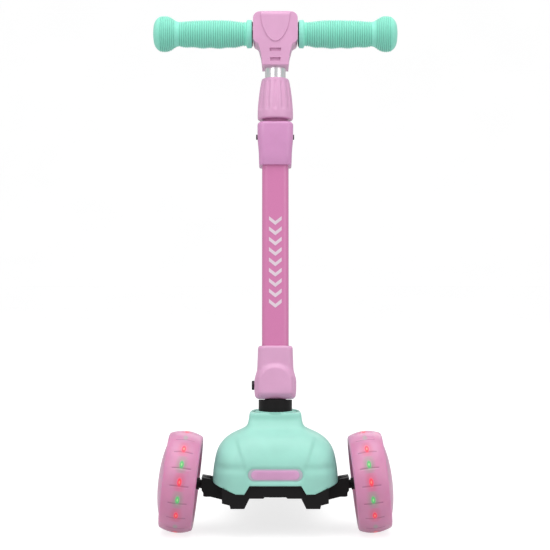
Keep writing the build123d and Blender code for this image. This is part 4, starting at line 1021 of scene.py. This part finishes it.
print("chassis, deck and fender")
softCopy("front_chassis", "root", blackPlastic, 0.9)
softCopy("column_post", "column", blackPlastic, 0.6)
softCopy("deck_mat", "root", matRubber, 0.35)
softCopy("brake_fender", "brake", pinkPlastic, 0.7)


view = {"ahead": 1.85, "height": 0.345, "aim": 0.3045, "lens": 102.6, "side": -0.0004}


# one pale sheet, rolled up far behind
def makeStage():
    bm = bmesh.new()
    line = [(-9, 0), (5, 0)] + [(5 + 2 * math.sin(math.radians(a)), 2 - 2 * math.cos(math.radians(a)))
                                for a in range(10, 91, 10)] + [(7, 9)]
    verts = [bm.verts.new((-9, y, z)) for y, z in line]
    edges = [bm.edges.new(pair) for pair in zip(verts, verts[1:])]
    grown = bmesh.ops.extrude_edge_only(bm, edges=edges)["geom"]
    bmesh.ops.translate(bm, vec=(18, 0, 0), verts=vertsOf(grown))
    mesh = bpy.data.meshes.new("floor")
    bm.to_mesh(mesh)
    bm.free()
    floor = bpy.data.objects.new("floor", mesh)
    bpy.context.scene.collection.objects.link(floor)
    material, tree, bsdf = startMaterial("pale floor")
    tone = rampBetween(tree, noiseAt(tree, 3, 2), 0.3, 0.7, (0.35, 0.35, 0.352), (0.37, 0.37, 0.37))
    tree.links.new(tone, bsdf.inputs["Base Color"])
    bsdf.inputs["Roughness"].default_value = 0.8
    bsdf.inputs["Specular IOR Level"].default_value = 0.1
    bsdf.inputs["Emission Color"].default_value = (1, 1, 1, 1)
    seen = addNode(tree, "LightPath").outputs["Is Camera Ray"]
    tree.links.new(calc(tree, "MULTIPLY_ADD", seen, 0.44, 0.32), bsdf.inputs["Emission Strength"])
    mesh.materials.append(material)


def makeLight(name, place, target, size, power):
    lamp = bpy.data.lights.new(name, "AREA")
    lamp.shape = "RECTANGLE"
    lamp.size, lamp.size_y = size
    lamp.energy = power
    holder = bpy.data.objects.new(name, lamp)
    holder.location = place
    holder.rotation_euler = (Vector(target) - Vector(place)).to_track_quat("-Z", "Y").to_euler()
    bpy.context.scene.collection.objects.link(holder)


def makeCamera():
    lens = bpy.data.cameras.new("camera")
    lens.lens = view["lens"]
    lens.sensor_width = 36
    lens.clip_end = 50
    camera = bpy.data.objects.new("camera", lens)
    place = Vector((view["side"], frontAxle * mm - view["ahead"], view["height"]))
    camera.location = place
    aim = Vector((view["side"], frontAxle * mm, view["aim"]))
    camera.rotation_euler = (aim - place).to_track_quat("-Z", "Y").to_euler()
    bpy.context.scene.collection.objects.link(camera)
    bpy.context.scene.camera = camera


print("stage")
makeStage()
makeCamera()
makeLight("overhead", (0, -0.6, 2.5), (0, -0.1, 0.3), (2.4, 2.4), 37)
makeLight("key", (-1.5, -2.3, 1.9), (0, -0.2, 0.3), (1.4, 1.6), 14)
makeLight("fill", (1.8, -2.0, 1.3), (0, -0.2, 0.3), (1.4, 1.8), 9)
makeLight("back", (0.4, 2.6, 1.8), (0, 0, 0.3), (2.0, 1.4), 10)
world = bpy.data.worlds.new("studio")
world.use_nodes = True
world.node_tree.nodes["Background"].inputs[0].default_value = (1, 1, 1, 1)
sky = addNode(world.node_tree, "LightPath").outputs["Is Camera Ray"]
world.node_tree.links.new(calc(world.node_tree, "MULTIPLY_ADD", sky, 0.36, 0.64),
                          world.node_tree.nodes["Background"].inputs[1])
bpy.context.scene.world = world
bpy.context.scene.view_settings.view_transform = "Standard"
